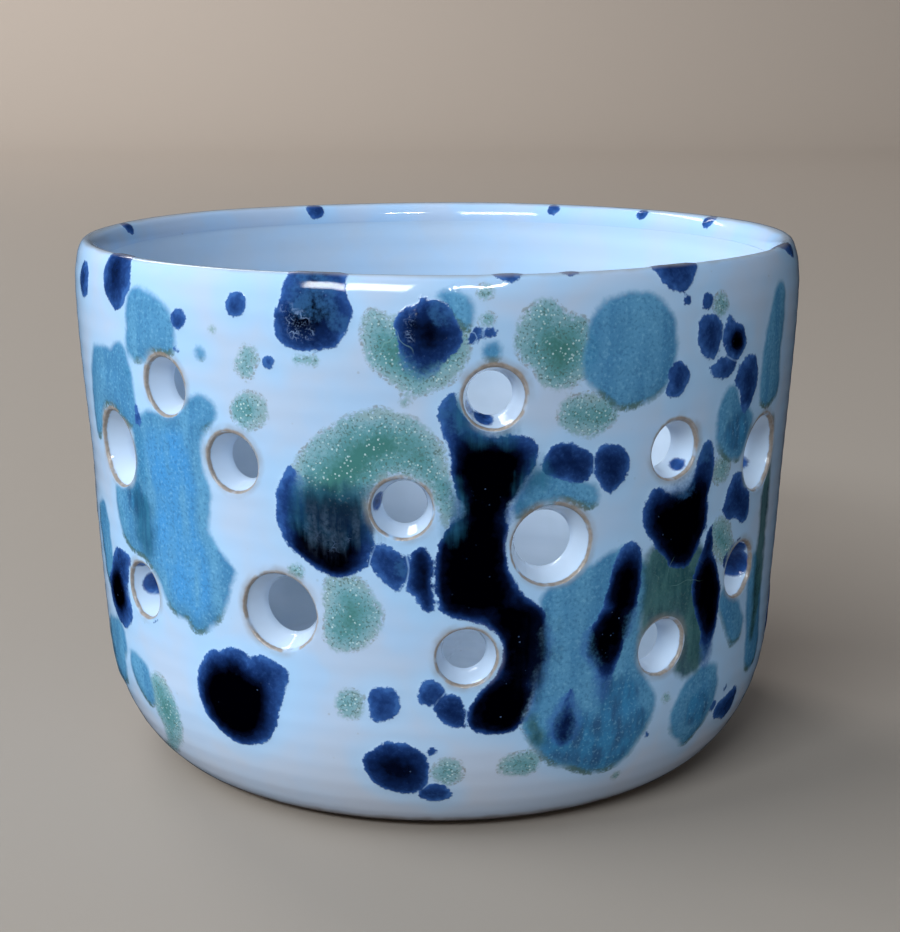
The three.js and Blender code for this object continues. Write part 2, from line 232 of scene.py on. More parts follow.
# Where two glazes ran into each other and turned deep teal, streaked downwards.
TEAL = [
    [(-20.6, 50.4), (-18.5, 51.4), (-14, 51.6), (-10, 51.8), (-9.2, 49.6), (-9.2, 45.6), (-12, 44),
     (-17, 44.4), (-20.4, 46.4)],
    [(10.8, 51), (12, 53.6), (13.8, 54.8), (15, 53.6), (15.4, 51.4), (13, 50), (11.2, 47.6)],
    [(-53, 46.6), (-51, 47.4), (-49.4, 46), (-47.6, 44), (-47, 40), (-48.4, 36.6), (-51, 37.4),
     (-52.8, 40), (-53.4, 44)],
    [(2.4, 63), (4.4, 60.6), (7, 59.2), (10, 59), (10, 57.8), (6.6, 57.6), (4, 58.6), (2.4, 60.6)],
    [(1.6, 52), (3.4, 50), (3, 46), (1.2, 45), (1.4, 48)],
]
# Where green and cobalt mixed to a dark green, made darker still as painted shade on the front right and
# right side.
MOSS_AND_SHADE = [
    [(33, 41.8), (31, 38.5), (30.8, 34), (31, 26.4), (33, 28), (35.6, 28.6), (37.6, 27.6), (38.6, 25.5),
     (38.4, 21.6), (43.4, 20.4), (45.6, 23), (46, 30), (45, 38), (40, 41)],
    [(13.6, 19.2, 0.9), (14.8, 16.0, 1.2)],
    [(62.0, 54.0, 1.0), (62.6, 42.0, 2.0), (62.4, 30.0, 2.2), (61.6, 22.0, 1.2)],
]
# Where glazes mixed to nearly black, with grey streaks.
DUSK = [
    [(-19.6, 49.4), (-17, 51), (-13.6, 51.4), (-10.6, 50.8), (-9, 48.6), (-9.2, 45), (-11, 43.2),
     (-16, 43), (-19.4, 45)],
    [(13.4, 34), (15, 33.6), (16.2, 29), (15.6, 24.6), (14, 21.4), (12.6, 24), (13, 29)],
]
# Where pale crystals grew in the cobalt.
CRYSTALS = [
    [(-18.6, 47), (-15, 47.4), (-12, 47), (-11.8, 44), (-14, 42.6), (-17, 43.4), (-19, 44.8)],
    [(-21, 74.6), (-18, 74.8), (-16.6, 72.6), (-16.4, 70.2), (-19, 70), (-21, 71.4)],
    [(-5, 73), (-3.4, 74), (-2.6, 71), (-3.6, 70)],
]
# Where the cobalt pooled and turned black: (azimuth, height, radius), then how strongly, if not fully.
POOLS = [
    (6.0, 52.0, 9.0), (4.5, 41.0, 11.0), (12.0, 30.5, 9.0), (9.0, 21.0, 8.0), (26.0, 29.5, 6.5),
    (45.0, 32.0, 9.0), (39.0, 43.0, 10.0), (-16.0, 42.5, 7.0), (-32.5, 18.8, 8.0), (-1.2, 70.4, 7.0, 0.3),
    (-16.4, 71.6, 5.5, 0.35), (28.4, 36.0, 5.5), (19.0, 17.5, 4.0, 0.5), (-6.3, 11.9, 9.0, 0.4),
    (20.5, 54.0, 10.0, 0.25), (1.0, 21.0, 5.0, 0.25),
    (-62.0, 29.0, 4.0), (47.0, 67.5, 2.0), (120.0, 42.0, 9.0), (170.0, 38.0, 8.0), (240.0, 36.0, 8.0),
]
# Where turquoise pooled and turned bright blue: (azimuth, height, radius).
BRIGHT = [
    (-41.5, 34.0, 9.0), (-41.5, 42.0, 8.5), (-42.0, 51.0, 8.0), (141.0, 40.0, 7.0), (228.0, 31.0, 7.0),
]
# Where turquoise pooled and turned deep, and painted shade low on the front right: (azimuth, height,
# radius).
DEEP_AND_SHADE = [
    (25.5, 14.0, 8.5), (19.5, 13.5, 6.0), (27.5, 20.0, 5.0), (31.0, 15.0, 5.0), (49.0, 55.0, 4.0),
    (45.0, 15.0, 4.0), (104.0, 18.0, 6.0), (160.0, 15.0, 6.0), (-52.0, 45.0, 4.0),
]
# Where the cobalt stayed thin and teal-blue, on the lip also a painted highlight: (azimuth, height,
# radius).
THIN_AND_SHEEN = [
    (-16.5, 76.0, 5.5), (0.8, 74.2, 3.0), (2.5, 61.5, 4.0), (7.5, 59.0, 3.0), (37.5, 49.0, 3.5),
    (-13.0, 72.5, 2.5), (41.5, 53.0, 2.5), (-5.0, 41.0, 2.0), (216.0, 69.0, 4.0),
]
# Places where a drop fades out instead of ending in a crisp edge: (azimuth, height, radius).
SOFT_SPOTS = [
    (36.8, 49.6, 3.4), (6.5, 60.0, 2.6), (-14.0, 48.0, 6.0), (-18.5, 50.5, 3.0), (10.5, 48.5, 2.4),
    (19.0, 18.5, 4.6), (24.0, 22.0, 3.5), (24.0, 27.0, 3.0), (28.6, 31.0, 3.0), (-61.0, 29.0, 4.0),
    (15.0, 30.0, 3.5), (2.8, 48.5, 1.8), (-2.5, 67.5, 3.5), (12.5, 51.0, 2.4), (14.8, 25.0, 3.6),
    (13.5, 20.5, 2.6), (22.0, 29.0, 2.6), (46.0, 23.0, 3.0),
]


def echoes(drops, placings):
    """Drops for the side away from the camera: those in front again, mirrored and stretched.

    Each placing is (number of the drop, azimuth and height of its middle, stretch).
    """
    copies = []
    for number, azimuth, height, stretch in placings:
        drop = drops[number]
        middle = [sum(knot[i] for knot in drop) / len(drop) for i in (0, 1)]
        copies.append([(azimuth - stretch * (knot[0] - middle[0]), height + stretch * (knot[1] - middle[1]))
                       + tuple(stretch * size for size in knot[2:]) for knot in drop])
    return copies


def scattered(count, smallest, largest, run, seed):
    """Small drops for the side away from the camera, in the same manner as those in front."""
    dice = random.Random(seed)
    drops = []
    for _ in range(count):
        azimuth = dice.uniform(80, 280)
        height = dice.uniform(12, 74)
        radius = smallest + (largest - smallest) * dice.random() ** 1.6
        length = run * radius * dice.uniform(0.2, 1.0)
        lean = dice.uniform(-3, 3)
        low = max(height - length, 8 + radius)
        drops.append([(azimuth, height, radius * dice.uniform(0.6, 1.0)),
                      (azimuth + lean, 0.5 * (height + low), radius * dice.uniform(0.8, 1.1)),
                      (azimuth + 1.4 * lean, low, radius * dice.uniform(0.7, 1.0))])
    return drops


COBALT += echoes(COBALT, [(13, 120, 42, 0.9), (8, 96, 55, 1.0), (21, 152, 62, 0.9), (20, 170, 38, 1.1),
                          (11, 197, 61, 0.9), (9, 213, 43, 1.1), (13, 240, 38, 0.95), (23, 140, 20, 1.0),
                          (1, 216, 66, 1.0), (21, 262, 20, 0.8), (27, 184, 16, 1.0), (10, 78, 22, 1.0),
                          (18, 262, 68, 1.1), (12, 193, 24, 1.2), (22, 206, 14, 1.3), (19, 152, 28, 1.1),
                          (10, 226, 64, 1.1), (6, 112, 68, 1.1), (14, 190, 47, 1.1), (15, 184, 45, 1.0),
                          (7, 254, 52, 1.0), (18, 170, 13, 1.2), (26, 228, 17, 0.8), (16, 132, 12, 1.4),
                          (3, 176, 68, 1.0), (4, 171, 66, 1.0)])
COBALT += scattered(26, 0.5, 1.9, 0.6, 12)
TURQUOISE += echoes(TURQUOISE, [(6, 104, 26, 0.9), (2, 141, 46, 1.0), (4, 128, 69, 1.0), (0, 188, 68, 1.0),
                                (2, 228, 36, 0.9), (7, 160, 14, 1.2), (8, 203, 26, 1.2), (9, 276, 44, 1.2),
                                (1, 250, 58, 0.9), (6, 184, 26, 0.8), (8, 236, 16, 1.2),
                                (7, 118, 13, 1.2), (10, 180, 70, 1.2)])
GREEN += echoes(GREEN, [(2, 92, 46, 1.1), (1, 160, 54, 0.9), (3, 116, 60, 1.0), (4, 244, 70, 1.0),
                        (2, 216, 20, 1.1), (0, 200, 51, 0.9), (6, 244, 14, 0.9), (3, 268, 52, 0.8),
                        (4, 164, 22, 1.1), (2, 232, 50, 0.9), (3, 140, 70, 0.8)])
GREEN += scattered(14, 1.0, 2.6, 0.6, 14)


# The depth given to a point that is out of a drop's reach, and how far round a drop its reach goes.
FAR_OUTSIDE = -30.0
REACH = 5.0
CURVE_STEPS = 6


def round_up_to(distance, other, blend):
    """The larger of two distances, rounded where they meet."""
    overlap = np.maximum(blend - np.abs(distance - other), 0) / blend
    return np.maximum(distance, other) + 0.25 * blend * overlap * overlap


def across_from(across, middle):
    """The same places round the pot, written so that none is over half a turn from a middle."""
    turn = 2 * math.pi * PAINT_RADIUS
    return (across - middle + turn / 2) % turn - turn / 2 + middle


def closed_curve(outline):
    """Points along a smooth closed curve through an outline, in millimetres across and up."""
    knots = np.array([(math.radians(azimuth) * PAINT_RADIUS, height) for azimuth, height in outline])
    before, after, second = (np.roll(knots, shift, 0) for shift in (1, -1, -2))
    t = np.linspace(0, 1, CURVE_STEPS, endpoint=False)[:, None, None]
    curve = 0.5 * (2 * knots + t * (after - before) + t ** 2 * (2 * before - 5 * knots + 4 * after - second)
                   + t ** 3 * (3 * knots - before - 3 * after + second))
    return curve.transpose(1, 0, 2).reshape(-1, 2)


def depth_in_outline(outline, across, up):
    """How deep each point lies inside an outline; negative outside it."""
    curve = closed_curve(outline)
    x = across_from(across, curve[:, 0].mean())
    low = curve.min(0) - REACH
    high = curve.max(0) + REACH
    near = (x > low[0]) & (x < high[0]) & (up > low[1]) & (up < high[1])
    x = x[near]
    y = up[near]
    nearest = np.full(len(x), -FAR_OUTSIDE)
    inside = np.zeros(len(x), bool)
    for start, end in zip(curve, np.roll(curve, -1, 0)):
        run, climb = end - start
        dx = x - start[0]
        dy = y - start[1]
        t = np.clip((dx * run + dy * climb) / max(run * run + climb * climb, 1e-9), 0, 1)
        nearest = np.minimum(nearest, np.hypot(dx - t * run, dy - t * climb))
        crosses = (start[1] > y) != (end[1] > y)
        inside ^= crosses & (dx < dy * run / (climb or 1))
    depth = np.full(len(across), FAR_OUTSIDE)
    depth[near] = np.where(inside, nearest, -nearest)
    return depth


def depth_in_chain(chain, across, up):
    """How deep each point lies inside a chain of knots; negative outside it."""
    knots = [(math.radians(azimuth) * PAINT_RADIUS, height, size) for azimuth, height, size in chain]
    depth = None
    for start, end in zip(knots, knots[1:] or knots):
        dx = across_from(across, start[0]) - start[0]
        dy = up - start[1]
        run = end[0] - start[0]
        climb = end[1] - start[1]
        t = np.clip((dx * run + dy * climb) / max(run * run + climb * climb, 1e-9), 0, 1)
        here = start[2] + t * (end[2] - start[2]) - np.hypot(dx - t * run, dy - t * climb)
        depth = here if depth is None else round_up_to(depth, here, 1.2)
    return depth


def deepest(drops, across, up):
    """Depth in the deepest drop, and the difference from the next one, signed by their order."""
    first = np.full(len(across), FAR_OUTSIDE)
    second = np.full(len(across), FAR_OUTSIDE)
    owner = np.full(len(across), -1)
    second_owner = np.full(len(across), -1)
    for number, drop in enumerate(drops):
        depth_in = depth_in_outline if len(drop[0]) == 2 else depth_in_chain
        depth = depth_in(drop, across, up)
        wins = depth > first
        places = ~wins & (depth > second)
        second = np.where(wins, first, np.where(places, depth, second))
        second_owner = np.where(wins, owner, np.where(places, number, second_owner))
        first = np.where(wins, depth, first)
        owner = np.where(wins, number, owner)
    divide = np.clip(first - second, 0, 6) * np.where(owner > second_owner, 1, -1)
    return first, divide


# ------------------------------------------------------------------------------ profiles and skins

def bezier(p, steps):
    """Points along a cubic Bezier curve."""
    t = np.linspace(0, 1, steps + 1)[:, None]
    p = [np.array(q) for q in p]
    return (1 - t) ** 3 * p[0] + 3 * t * (1 - t) ** 2 * p[1] + 3 * t * t * (1 - t) * p[2] + t ** 3 * p[3]


def arc(centre, radii, start, end, steps):
    """Points along an ellipse, angles in degrees."""
    t = np.radians(np.linspace(start, end, steps + 1))
    return np.stack([centre[0] + radii[0] * np.cos(t), centre[1] + radii[1] * np.sin(t)], 1)


def joined(*stretches):
    """One line of points from several that follow each other."""
    points = [stretches[0]]
    for stretch in stretches[1:]:
        near = np.linalg.norm(stretch[0] - points[-1][-1]) < 1e-6
        points.append(stretch[1:] if near else stretch)
    return np.concatenate(points)


def outer_line():
    """The outside of the pot, from the edge of the bare foot to the crest of the lip."""
    corner = bezier([(FOOT_RADIUS, 0), (46.8, 1.8), (51.5, 8.46), SHOULDER], 60)
    corner = corner[corner[:, 1] >= BARE_FOOT]
    wall = bezier([SHOULDER, (52.9, 26.0), (53.3, 34.0), WAIST], 60)
    flare = bezier([WAIST, (53.9, 52.0), (WIDEST, 62.0), (WIDEST, FLARE_HEIGHT)], 60)
    lip = arc((CREST[0], FLARE_HEIGHT), (WIDEST - CREST[0], HEIGHT - FLARE_HEIGHT), 0, 90, 60)
    return joined(corner, wall, flare, lip)


def inner_line():
    """The inside, from the crest of the lip to the middle of the floor."""
    lip = arc((CREST[0], HEIGHT - 3.2), (CREST[0] - 50.9, 3.2), 90, 180, 40)
    wall = bezier([(50.9, HEIGHT - 3.2), (50.5, 62.0), (49.7, 52.0), INNER_WAIST], 60)
    lower = bezier([INNER_WAIST, (49.0, 34.0), (48.3, 24.0), INNER_SHOULDER], 60)
    centre = (INNER_SHOULDER[0] - INNER_CORNER, INNER_SHOULDER[1])
    corner = arc(centre, (INNER_CORNER, INNER_SHOULDER[1] - FLOOR_TOP), 0, -90, 40)
    floor = np.linspace((centre[0], FLOOR_TOP), (0, FLOOR_TOP), 60)
    return joined(lip, wall, lower, corner, floor)


def offset(line, distance):
    """The line moved sideways, to the left of its own direction."""
    step = np.gradient(line, axis=0)
    step /= np.linalg.norm(step, axis=1)[:, None]
    moved = line + distance * np.stack([-step[:, 1], step[:, 0]], 1)
    moved[:, 0] = np.maximum(moved[:, 0], 0)
    return moved


OUTER = outer_line()
INNER = inner_line()


def wall_radius(line, height):
    """Radius of a wall line at a height, where the line only rises or only falls."""
    wall = line[(line[:, 1] > 15) & (line[:, 1] < 75)]
    wall = wall[np.argsort(wall[:, 1])]
    return np.interp(height, wall[:, 1], wall[:, 0])


class Profile:
    """Stretches of (radius, height) points end to end, measured along their whole length."""

    def __init__(self, *stretches, closed):
        self.closed = closed
        self.line = np.concatenate(stretches + ((stretches[0][:1],) if closed else ()))
        steps = np.linalg.norm(np.diff(self.line, axis=0), axis=1)
        self.along = np.concatenate([[0], np.cumsum(steps)])
        self.length = self.along[-1]
        tangent = np.gradient(self.line, axis=0)
        self.tangent = tangent / np.linalg.norm(tangent, axis=1)[:, None]
        ends = np.cumsum([len(stretch) for stretch in stretches])
        self.stretches = [(self.along[end - len(stretch)], self.along[end - 1])
                          for end, stretch in zip(ends, stretches)]

    def at(self, s):
        return np.interp(s, self.along, self.line[:, 0]), np.interp(s, self.along, self.line[:, 1])

    def normal(self, s):
        """Sideways direction (radius, height), to the right of the line's own direction."""
        return (np.interp(s, self.along, self.tangent[:, 1]),
                -np.interp(s, self.along, self.tangent[:, 0]))

    def where(self, height, start, end):
        """Distance along the line at a height, on the stretch between two distances."""
        inside = (self.along >= start) & (self.along <= end)
        z = self.line[inside, 1]
        s = self.along[inside]
        order = np.argsort(z)
        return np.interp(height, z[order], s[order])


def ring_on(profile, stretch, azimuth, height, radius, sides):
    """(azimuths in degrees, distances along the profile) of a ring of points on a skin."""
    turn = np.linspace(0, 2 * math.pi, sides, endpoint=False)
    z = height + radius * np.sin(turn)
    s = profile.where(z, *stretch)
    r = profile.at(s)[0]
    return azimuth + np.degrees(np.arcsin(radius * np.cos(turn) / r)), s


def skin(profile, rows, patches):
    """Triangles that fill the unrolled profile between its two ends, except for the openings.

    rows are (distance along the profile, number of columns). patches are (stretch, azimuth,
    height, radii, sides, is_open): rings of points round a stem hole, whose first ring is the
    opening's edge, or round a small drop, which is filled in.
    Returns azimuths in degrees, distances, triangles and the edge ring of each opening.
    """
    scale = math.radians(1) * PAINT_RADIUS
    points = []
    edges = []
    rings = []
    clear = []
    for stretch, azimuth, height, radii, sides, is_open in patches:
        middle = (azimuth - SEAM_AZIMUTH) % 360 * scale
        level = float(profile.where(height, *stretch))
        clear.append((middle, level, radii, is_open))
        if not is_open:
            points.append((middle, level))
        for number, radius in enumerate(radii):
            around, along = ring_on(profile, stretch, azimuth, height, radius, sides)
            loop = list(range(len(points), len(points) + sides))
            points += [((a - SEAM_AZIMUTH) % 360 * scale, d) for a, d in zip(around, along)]
            if is_open and number == 0:
                edges += list(zip(loop, loop[1:] + loop[:1]))
                rings.append(loop)
    borders = {0: [], 1: []}
    for number, (s, columns) in enumerate(rows):
        straight = number == len(rows) - 1 or profile.at(s)[0] < 1e-6
        shift = 0.5 if number % 2 and not straight else 0
        pitch = 360 * scale / columns
        near = [(x, y, radii[-1] + 0.6 * pitch) for x, y, radii, _ in clear
                if abs(y - s) < radii[-1] + pitch]
        for column in range(columns + (0 if shift else 1)):
            x = (column + shift) * pitch
            if any(math.hypot(x - cx, s - cy) < radius for cx, cy, radius in near):
                continue
            if not shift and column in (0, columns):
                borders[column // columns].append(len(points))
            points.append((x, s))
    for border in borders.values():
        edges += list(zip(border, border[1:]))
    _, _, faces, origin, _, _ = geometry.delaunay_2d_cdt(
        [Vector(point) for point in points], edges, [], 0, 1e-5, True)
    source = [ids[0] for ids in origin]
    welded = dict(zip(borders[1], borders[0]))
    if profile.closed:
        first_row = [i for i, q in enumerate(points) if q[1] == rows[0][0]]
        last_row = [i for i, q in enumerate(points) if q[1] == rows[-1][0]]
        welded.update((b, welded.get(a, a)) for a, b in zip(first_row, last_row))
    for s, _ in rows:
        if profile.at(s)[0] < 1e-6:
            pole = [i for i, q in enumerate(points) if q[1] == s]
            welded.update((i, pole[0]) for i in pole)
    opening = {i: number for number, ring in enumerate(rings) for i in ring}
    triangles = []
    for face in faces:
        corners = [source[i] for i in face]
        holes = {opening.get(i, -1) for i in corners}
        corners = [welded.get(i, i) for i in corners]
        if len(set(corners)) == 3 and (len(holes) > 1 or -1 in holes):
            triangles.append(corners)
    azimuths = np.array([q[0] / scale + SEAM_AZIMUTH for q in points])
    distances = np.array([q[1] for q in points])
    return azimuths, distances, triangles, rings


def mouth_radius(hole):
    """Radius of the ring where the rounded mouth of a stem hole leaves the outside wall."""
    return hole[2][0] + MOUTH_ROUND


def exit_radius(hole):
    """Radius of the ring, inside the pot, where the two coats meet round a stem hole."""
    return hole[2][1] + MOUTH_ROUND + 0.7


def hole_frame(hole):
    """Directions outwards along a stem hole and sideways across it."""
    a = math.radians(hole[0])
    return np.array([math.sin(a), -math.cos(a), 0]), np.array([math.cos(a), math.sin(a), 0])


def hole_points(hole, radius, reach):
    """A ring of points round a stem hole's axis. reach gives how far out each one lies."""
    outward, sideways = hole_frame(hole)
    turn = np.linspace(0, 2 * math.pi, HOLE_SIDES, endpoint=False)
    x = radius * np.cos(turn)
    z = hole[1] + radius * np.sin(turn)
    q = reach(x, z)
    return outward * q[:, None] + sideways * x[:, None] + np.array([0, 0, 1]) * z[:, None]


def on_wall(line, inset):
    """How far out a wall lies from the pot's axis, for a point to one side of a hole's axis."""
    return lambda x, z: np.sqrt(wall_radius(line, z) ** 2 - x ** 2) + inset


def glazed_tunnel(hole):
    """Rings from the outside wall, round the mouth, through the wall and out onto the inside."""
    mouth, throat = hole[2]
    outer = on_wall(OUTER, 0)
    inner = on_wall(INNER, 0)
    rings = []
    for turn in np.radians([25, 50, 72, 90]):
        sunk = MOUTH_ROUND * (1 - math.cos(turn))
        radius = mouth + MOUTH_ROUND * (1 - math.sin(turn))
        rings.append((radius, on_wall(OUTER, -sunk), MOUTH_ROUND * turn))
    for part in (0.25, 0.5, 0.75, 1.0):
        def between(x, z, part=part):
            near = outer(x, z) - MOUTH_ROUND
            far = inner(x, z) + MOUTH_ROUND
            return near + part * (far - near)
        rings.append((mouth + part * (throat - mouth), between, 0.9 + part * 3.1))
    for turn in np.radians([30, 60, 90]):
        raised = MOUTH_ROUND * (1 - math.sin(turn))
        rings.append((throat + MOUTH_ROUND * (1 - math.cos(turn)), on_wall(INNER, raised), 4 + 0.2 * turn))
    rings.append((exit_radius(hole), inner, 5))
    rings.append((exit_radius(hole), on_wall(INNER, COAT), 6))
    rings.append((throat + COAT, on_wall(INNER, COAT + 0.2), 6))
    return rings


class Piece:
    """Vertices, triangles and what the paint needs to know about each vertex."""

    def __init__(self, profile, rows, patches, tunnels):
        azimuth, along, triangles, edge_rings = skin(profile, rows, patches)
        radius, height = profile.at(along)
        turn = np.radians(azimuth)
        self.points = np.stack([radius * np.sin(turn), -radius * np.cos(turn), height], 1)
        self.azimuth = azimuth
        self.along = along
        self.depth = np.zeros(len(azimuth))
        self.spin = np.zeros(len(azimuth))
        self.faces = [list(t) for t in triangles]
        out_r, out_z = profile.normal(along)
        self.normals = np.stack([out_r * np.sin(turn), -out_r * np.cos(turn), out_z], 1)
        half = len(edge_rings) // 2
        for hole, front, back, tunnel in zip(STEM_HOLES, edge_rings[:half], edge_rings[half:], tunnels):
            self.bore(hole, front, back, tunnel)

    def bore(self, hole, front, back, tunnel):
        """Joins a hole's two edge rings by the rings between them."""
        loop = front
        for radius, reach, depth in tunnel:
            ring = hole_points(hole, radius, reach)
            first = len(self.points)
            self.points = np.concatenate([self.points, ring])
            self.azimuth = np.concatenate([self.azimuth, np.full(HOLE_SIDES, float(hole[0]))])
            self.along = np.concatenate([self.along, np.zeros(HOLE_SIDES)])
            self.depth = np.concatenate([self.depth, np.full(HOLE_SIDES, float(depth))])
            turn = np.linspace(0, 2 * math.pi, HOLE_SIDES, endpoint=False)
            self.spin = np.concatenate([self.spin, turn])
            self.normals = np.concatenate([self.normals, np.zeros((HOLE_SIDES, 3))])
            following = list(range(first, first + HOLE_SIDES))
            self.bridge(loop, following)
            loop = following
        self.bridge(loop, back)

    def bridge(self, near, far):
        """A band of four-sided faces between two rings."""
        for i in range(HOLE_SIDES):
            j = (i + 1) % HOLE_SIDES
            self.faces.append([near[i], near[j], far[j], far[i]])


def rows_between(start, end, pitch, columns):
    """Evenly spaced rows, both ends included."""
    count = max(1, round((end - start) / pitch))
    return [(start + (end - start) * i / count, columns) for i in range(count + 1)]


def chained(*runs):
    """Runs of rows one after another, each starting where the last one ended."""
    rows = list(runs[0])
    for run in runs[1:]:
        rows += run[1:]
    return rows


# ------------------------------------------------------------------------------------ the pieces

HOLE_RINGS = (0.0, 0.45, 1.0, 1.7, 2.5)
LIP_INSIDE = INNER[:41]
WHOLE_OUTER = joined(OUTER, LIP_INSIDE)


def rolled_edge(line, radius):
    """A quarter turn that rounds off the start of a coat that is as thick as the radius."""
    along = line[1] - line[0]
    along /= np.linalg.norm(along)
    side = np.array([along[1], -along[0]])
    centre = line[0] - radius * side
    turns = np.radians(np.linspace(-90, 0, 7))[:, None]
    return centre + radius * (np.cos(turns) * side + np.sin(turns) * along)


def small_drops():
    """Rings of extra points round the small drops, which the even rows are too coarse for."""
    patches = []
    for drop in COBALT + GREEN:
        if len(drop[0]) == 2:
            continue
        azimuth, height, radius = drop[0]
        room = min(math.hypot(((azimuth - hole[0] + 180) % 360 - 180) * math.radians(PAINT_RADIUS),
                              height - hole[1]) - mouth_radius(hole) for hole in STEM_HOLES)
        small = max(knot[2] for knot in drop) < 1.3
        if small and 20 < height < 75 and room > HOLE_RINGS[-1] + 1.5 * radius + 0.4:
            patches.append((azimuth, height, (0.5 * radius, radius, 1.5 * radius)))
    return patches


def openings(stretch, radii_of):
    """A patch on a stretch of a skin for each stem hole. radii_of gives the radii of its rings."""
    return [(stretch, hole[0], hole[1], radii_of(hole), HOLE_SIDES, True) for hole in STEM_HOLES]


def outer_coat():
    """The coat on the outside, over the lip and through every stem hole."""
    front = joined(rolled_edge(WHOLE_OUTER, COAT), WHOLE_OUTER)
    back = offset(WHOLE_OUTER, COAT)[::-1]
    profile = Profile(front, back, closed=True)
    (start, seam), (back_start, back_end) = profile.stretches
    low = profile.where(HEIGHT - 6, start, 0.9 * seam)
    rows = chained(
        rows_between(start, 2, 0.3, FINE_COLUMNS),
        rows_between(2, low, 0.8, FINE_COLUMNS),
        rows_between(low, seam, 0.45, FINE_COLUMNS),
        [(seam, FINE_COLUMNS), (back_start, FINE_COLUMNS)],
        rows_between(back_start, back_end, 4, COARSE_COLUMNS)[:-1] + [(back_end, FINE_COLUMNS)],
        [(back_end, FINE_COLUMNS), (profile.length, FINE_COLUMNS)],
    )
    outer_wall = (start, 0.9 * seam)
    back_wall = (back_start + 6, back_end)
    fronts = openings(outer_wall, lambda hole: [mouth_radius(hole) + r for r in HOLE_RINGS])
    backs = openings(back_wall, lambda hole: [hole[2][0] + COAT])
    dots = [(outer_wall, azimuth, height, radii, 12, False) for azimuth, height, radii in small_drops()]
    tunnels = [glazed_tunnel(hole) for hole in STEM_HOLES]
    return profile, Piece(profile, rows, fronts + backs + dots, tunnels)


def liner_coat():
    """The coat inside, from below the lip down the wall and over the floor."""
    front = INNER[40:]
    back = offset(front, COAT)[::-1]
    back[0, 0] = 0
    profile = Profile(front, back, closed=True)
    (start, centre), (back_start, back_end) = profile.stretches
    base = profile.where(INNER_SHOULDER[1] + 1, start, centre)
    low = profile.where(HEIGHT - 6, start, base)
    rows = chained(
        rows_between(start, low, 0.6, FINE_COLUMNS),
        rows_between(low, base, 1.3, FINE_COLUMNS // 2),
        rows_between(base, centre - 6, 1.0, FINE_COLUMNS // 2),
        rows_between(centre - 6, centre, 1.0, COARSE_COLUMNS)[:-1] + [(centre, FINE_COLUMNS)],
        rows_between(centre, back_start, COAT, FINE_COLUMNS),
        rows_between(back_start, back_end, 4, COARSE_COLUMNS)[:-1] + [(back_end, FINE_COLUMNS)],
        [(back_end, FINE_COLUMNS), (profile.length, FINE_COLUMNS)],
    )
    inner_wall = (start, base)
    back_wall = (0.5 * (back_start + back_end), back_end)
    fronts = openings(inner_wall, lambda hole: [exit_radius(hole), exit_radius(hole) + 0.8])
    backs = openings(back_wall, lambda hole: [exit_radius(hole)])
    tunnels = [[] for _ in STEM_HOLES]
    return profile, Piece(profile, rows, backs + fronts, tunnels)


def clay_pot():
    """The fired clay between the two coats, bare on the foot that it stands on."""
    ring_inner = FOOT_RADIUS - FOOT_RING
    under = np.array([(0, FOOT_RECESS), (ring_inner - 1, FOOT_RECESS)])
    ring = joined(arc((ring_inner, 0.5), (1, 0.5), 180, 270, 6),
                  arc((FOOT_RADIUS - 1, 0.6), (1.4, 0.6), -90, -20, 6))
    outside = offset(OUTER, COAT + 0.02)
    inside = offset(INNER, COAT + 0.02)
    profile = Profile(under, ring, outside, inside, closed=False)
    _, (ring_start, ring_end), (out_start, out_end), (in_start, in_end) = profile.stretches
    columns = FINE_COLUMNS // 2
    rows = chained(
        rows_between(0, ring_start, 1.5, columns),
        rows_between(ring_start, ring_end, 0.5, columns),
        rows_between(ring_end, out_start + 4, 0.5, columns),
        rows_between(out_start + 4, in_end, 3, COARSE_COLUMNS),
    )
    outer_wall = (out_start, out_end - 4)
    inner_wall = (in_start + 4, in_end)
    fronts = openings(outer_wall, lambda hole: [hole[2][0] + COAT + 0.05])
    backs = openings(inner_wall, lambda hole: [hole[2][1] + COAT + 0.05])
    tunnels = [[] for _ in STEM_HOLES]
    return profile, Piece(profile, rows, fronts + backs, tunnels)


# -------------------------------------------------------------------- what the thrower's hand left

def smooth(x):
    """Eased step from 0 to 1."""
    x = np.clip(x, 0, 1)
    return x * x * (3 - 2 * x)


def noise_at(points, size, seed):
    """Smooth noise between about -1 and 1, one number a point, with features of a size in mm."""
    shift = Vector((seed * 7.31, seed * 3.17, seed * 5.93))
    return np.array([noise.noise(Vector(p) / size + shift) for p in points])


def hand_thrown(points):
    """Moves points a little, as a pot made by hand is never a perfect surface of revolution."""
    radius = np.hypot(points[:, 0], points[:, 1])
    around = points[:, :2] / np.maximum(radius, 1e-6)[:, None]
    ring = np.concatenate([around * 40, np.zeros((len(points), 1))], 1)
    lifted = smooth((points[:, 2] - 2) / 12)
    outwards = lifted * (0.22 * noise_at(points, 34, 1) + 0.10 * noise_at(points, 13, 2))
    points[:, :2] += around * (outwards * smooth(radius / 20))[:, None]
    top = smooth((points[:, 2] - 60) / 19)
    points[:, 2] += top * 0.16 * noise_at(ring, 30, 3)


def throwing_rings(piece, profile, pitch, size):
    """Shallow spiral ridges that the thrower's fingers left, along the skins' normals."""
    turn = np.radians(piece.azimuth)
    wave = np.sin(2 * math.pi * piece.along / pitch + turn)
    piece.points += piece.normals * (size * wave * (piece.depth == 0))[:, None]


# ------------------------------------------------------------------------- how the drops lie on it

def rise_of(profile, along):
    """Height up the outside, which carries on evenly over the crest and down inside the lip."""
    start, seam = profile.stretches[0]
    shoulder = profile.where(SHOULDER[1], start, 0.9 * seam)
    crest = seam - Profile(LIP_INSIDE, closed=False).length
    even = SHOULDER[1] + (along - shoulder) * (HEIGHT - SHOULDER[1]) / (crest - shoulder)
    return np.where(along < shoulder, profile.at(along)[1], even)


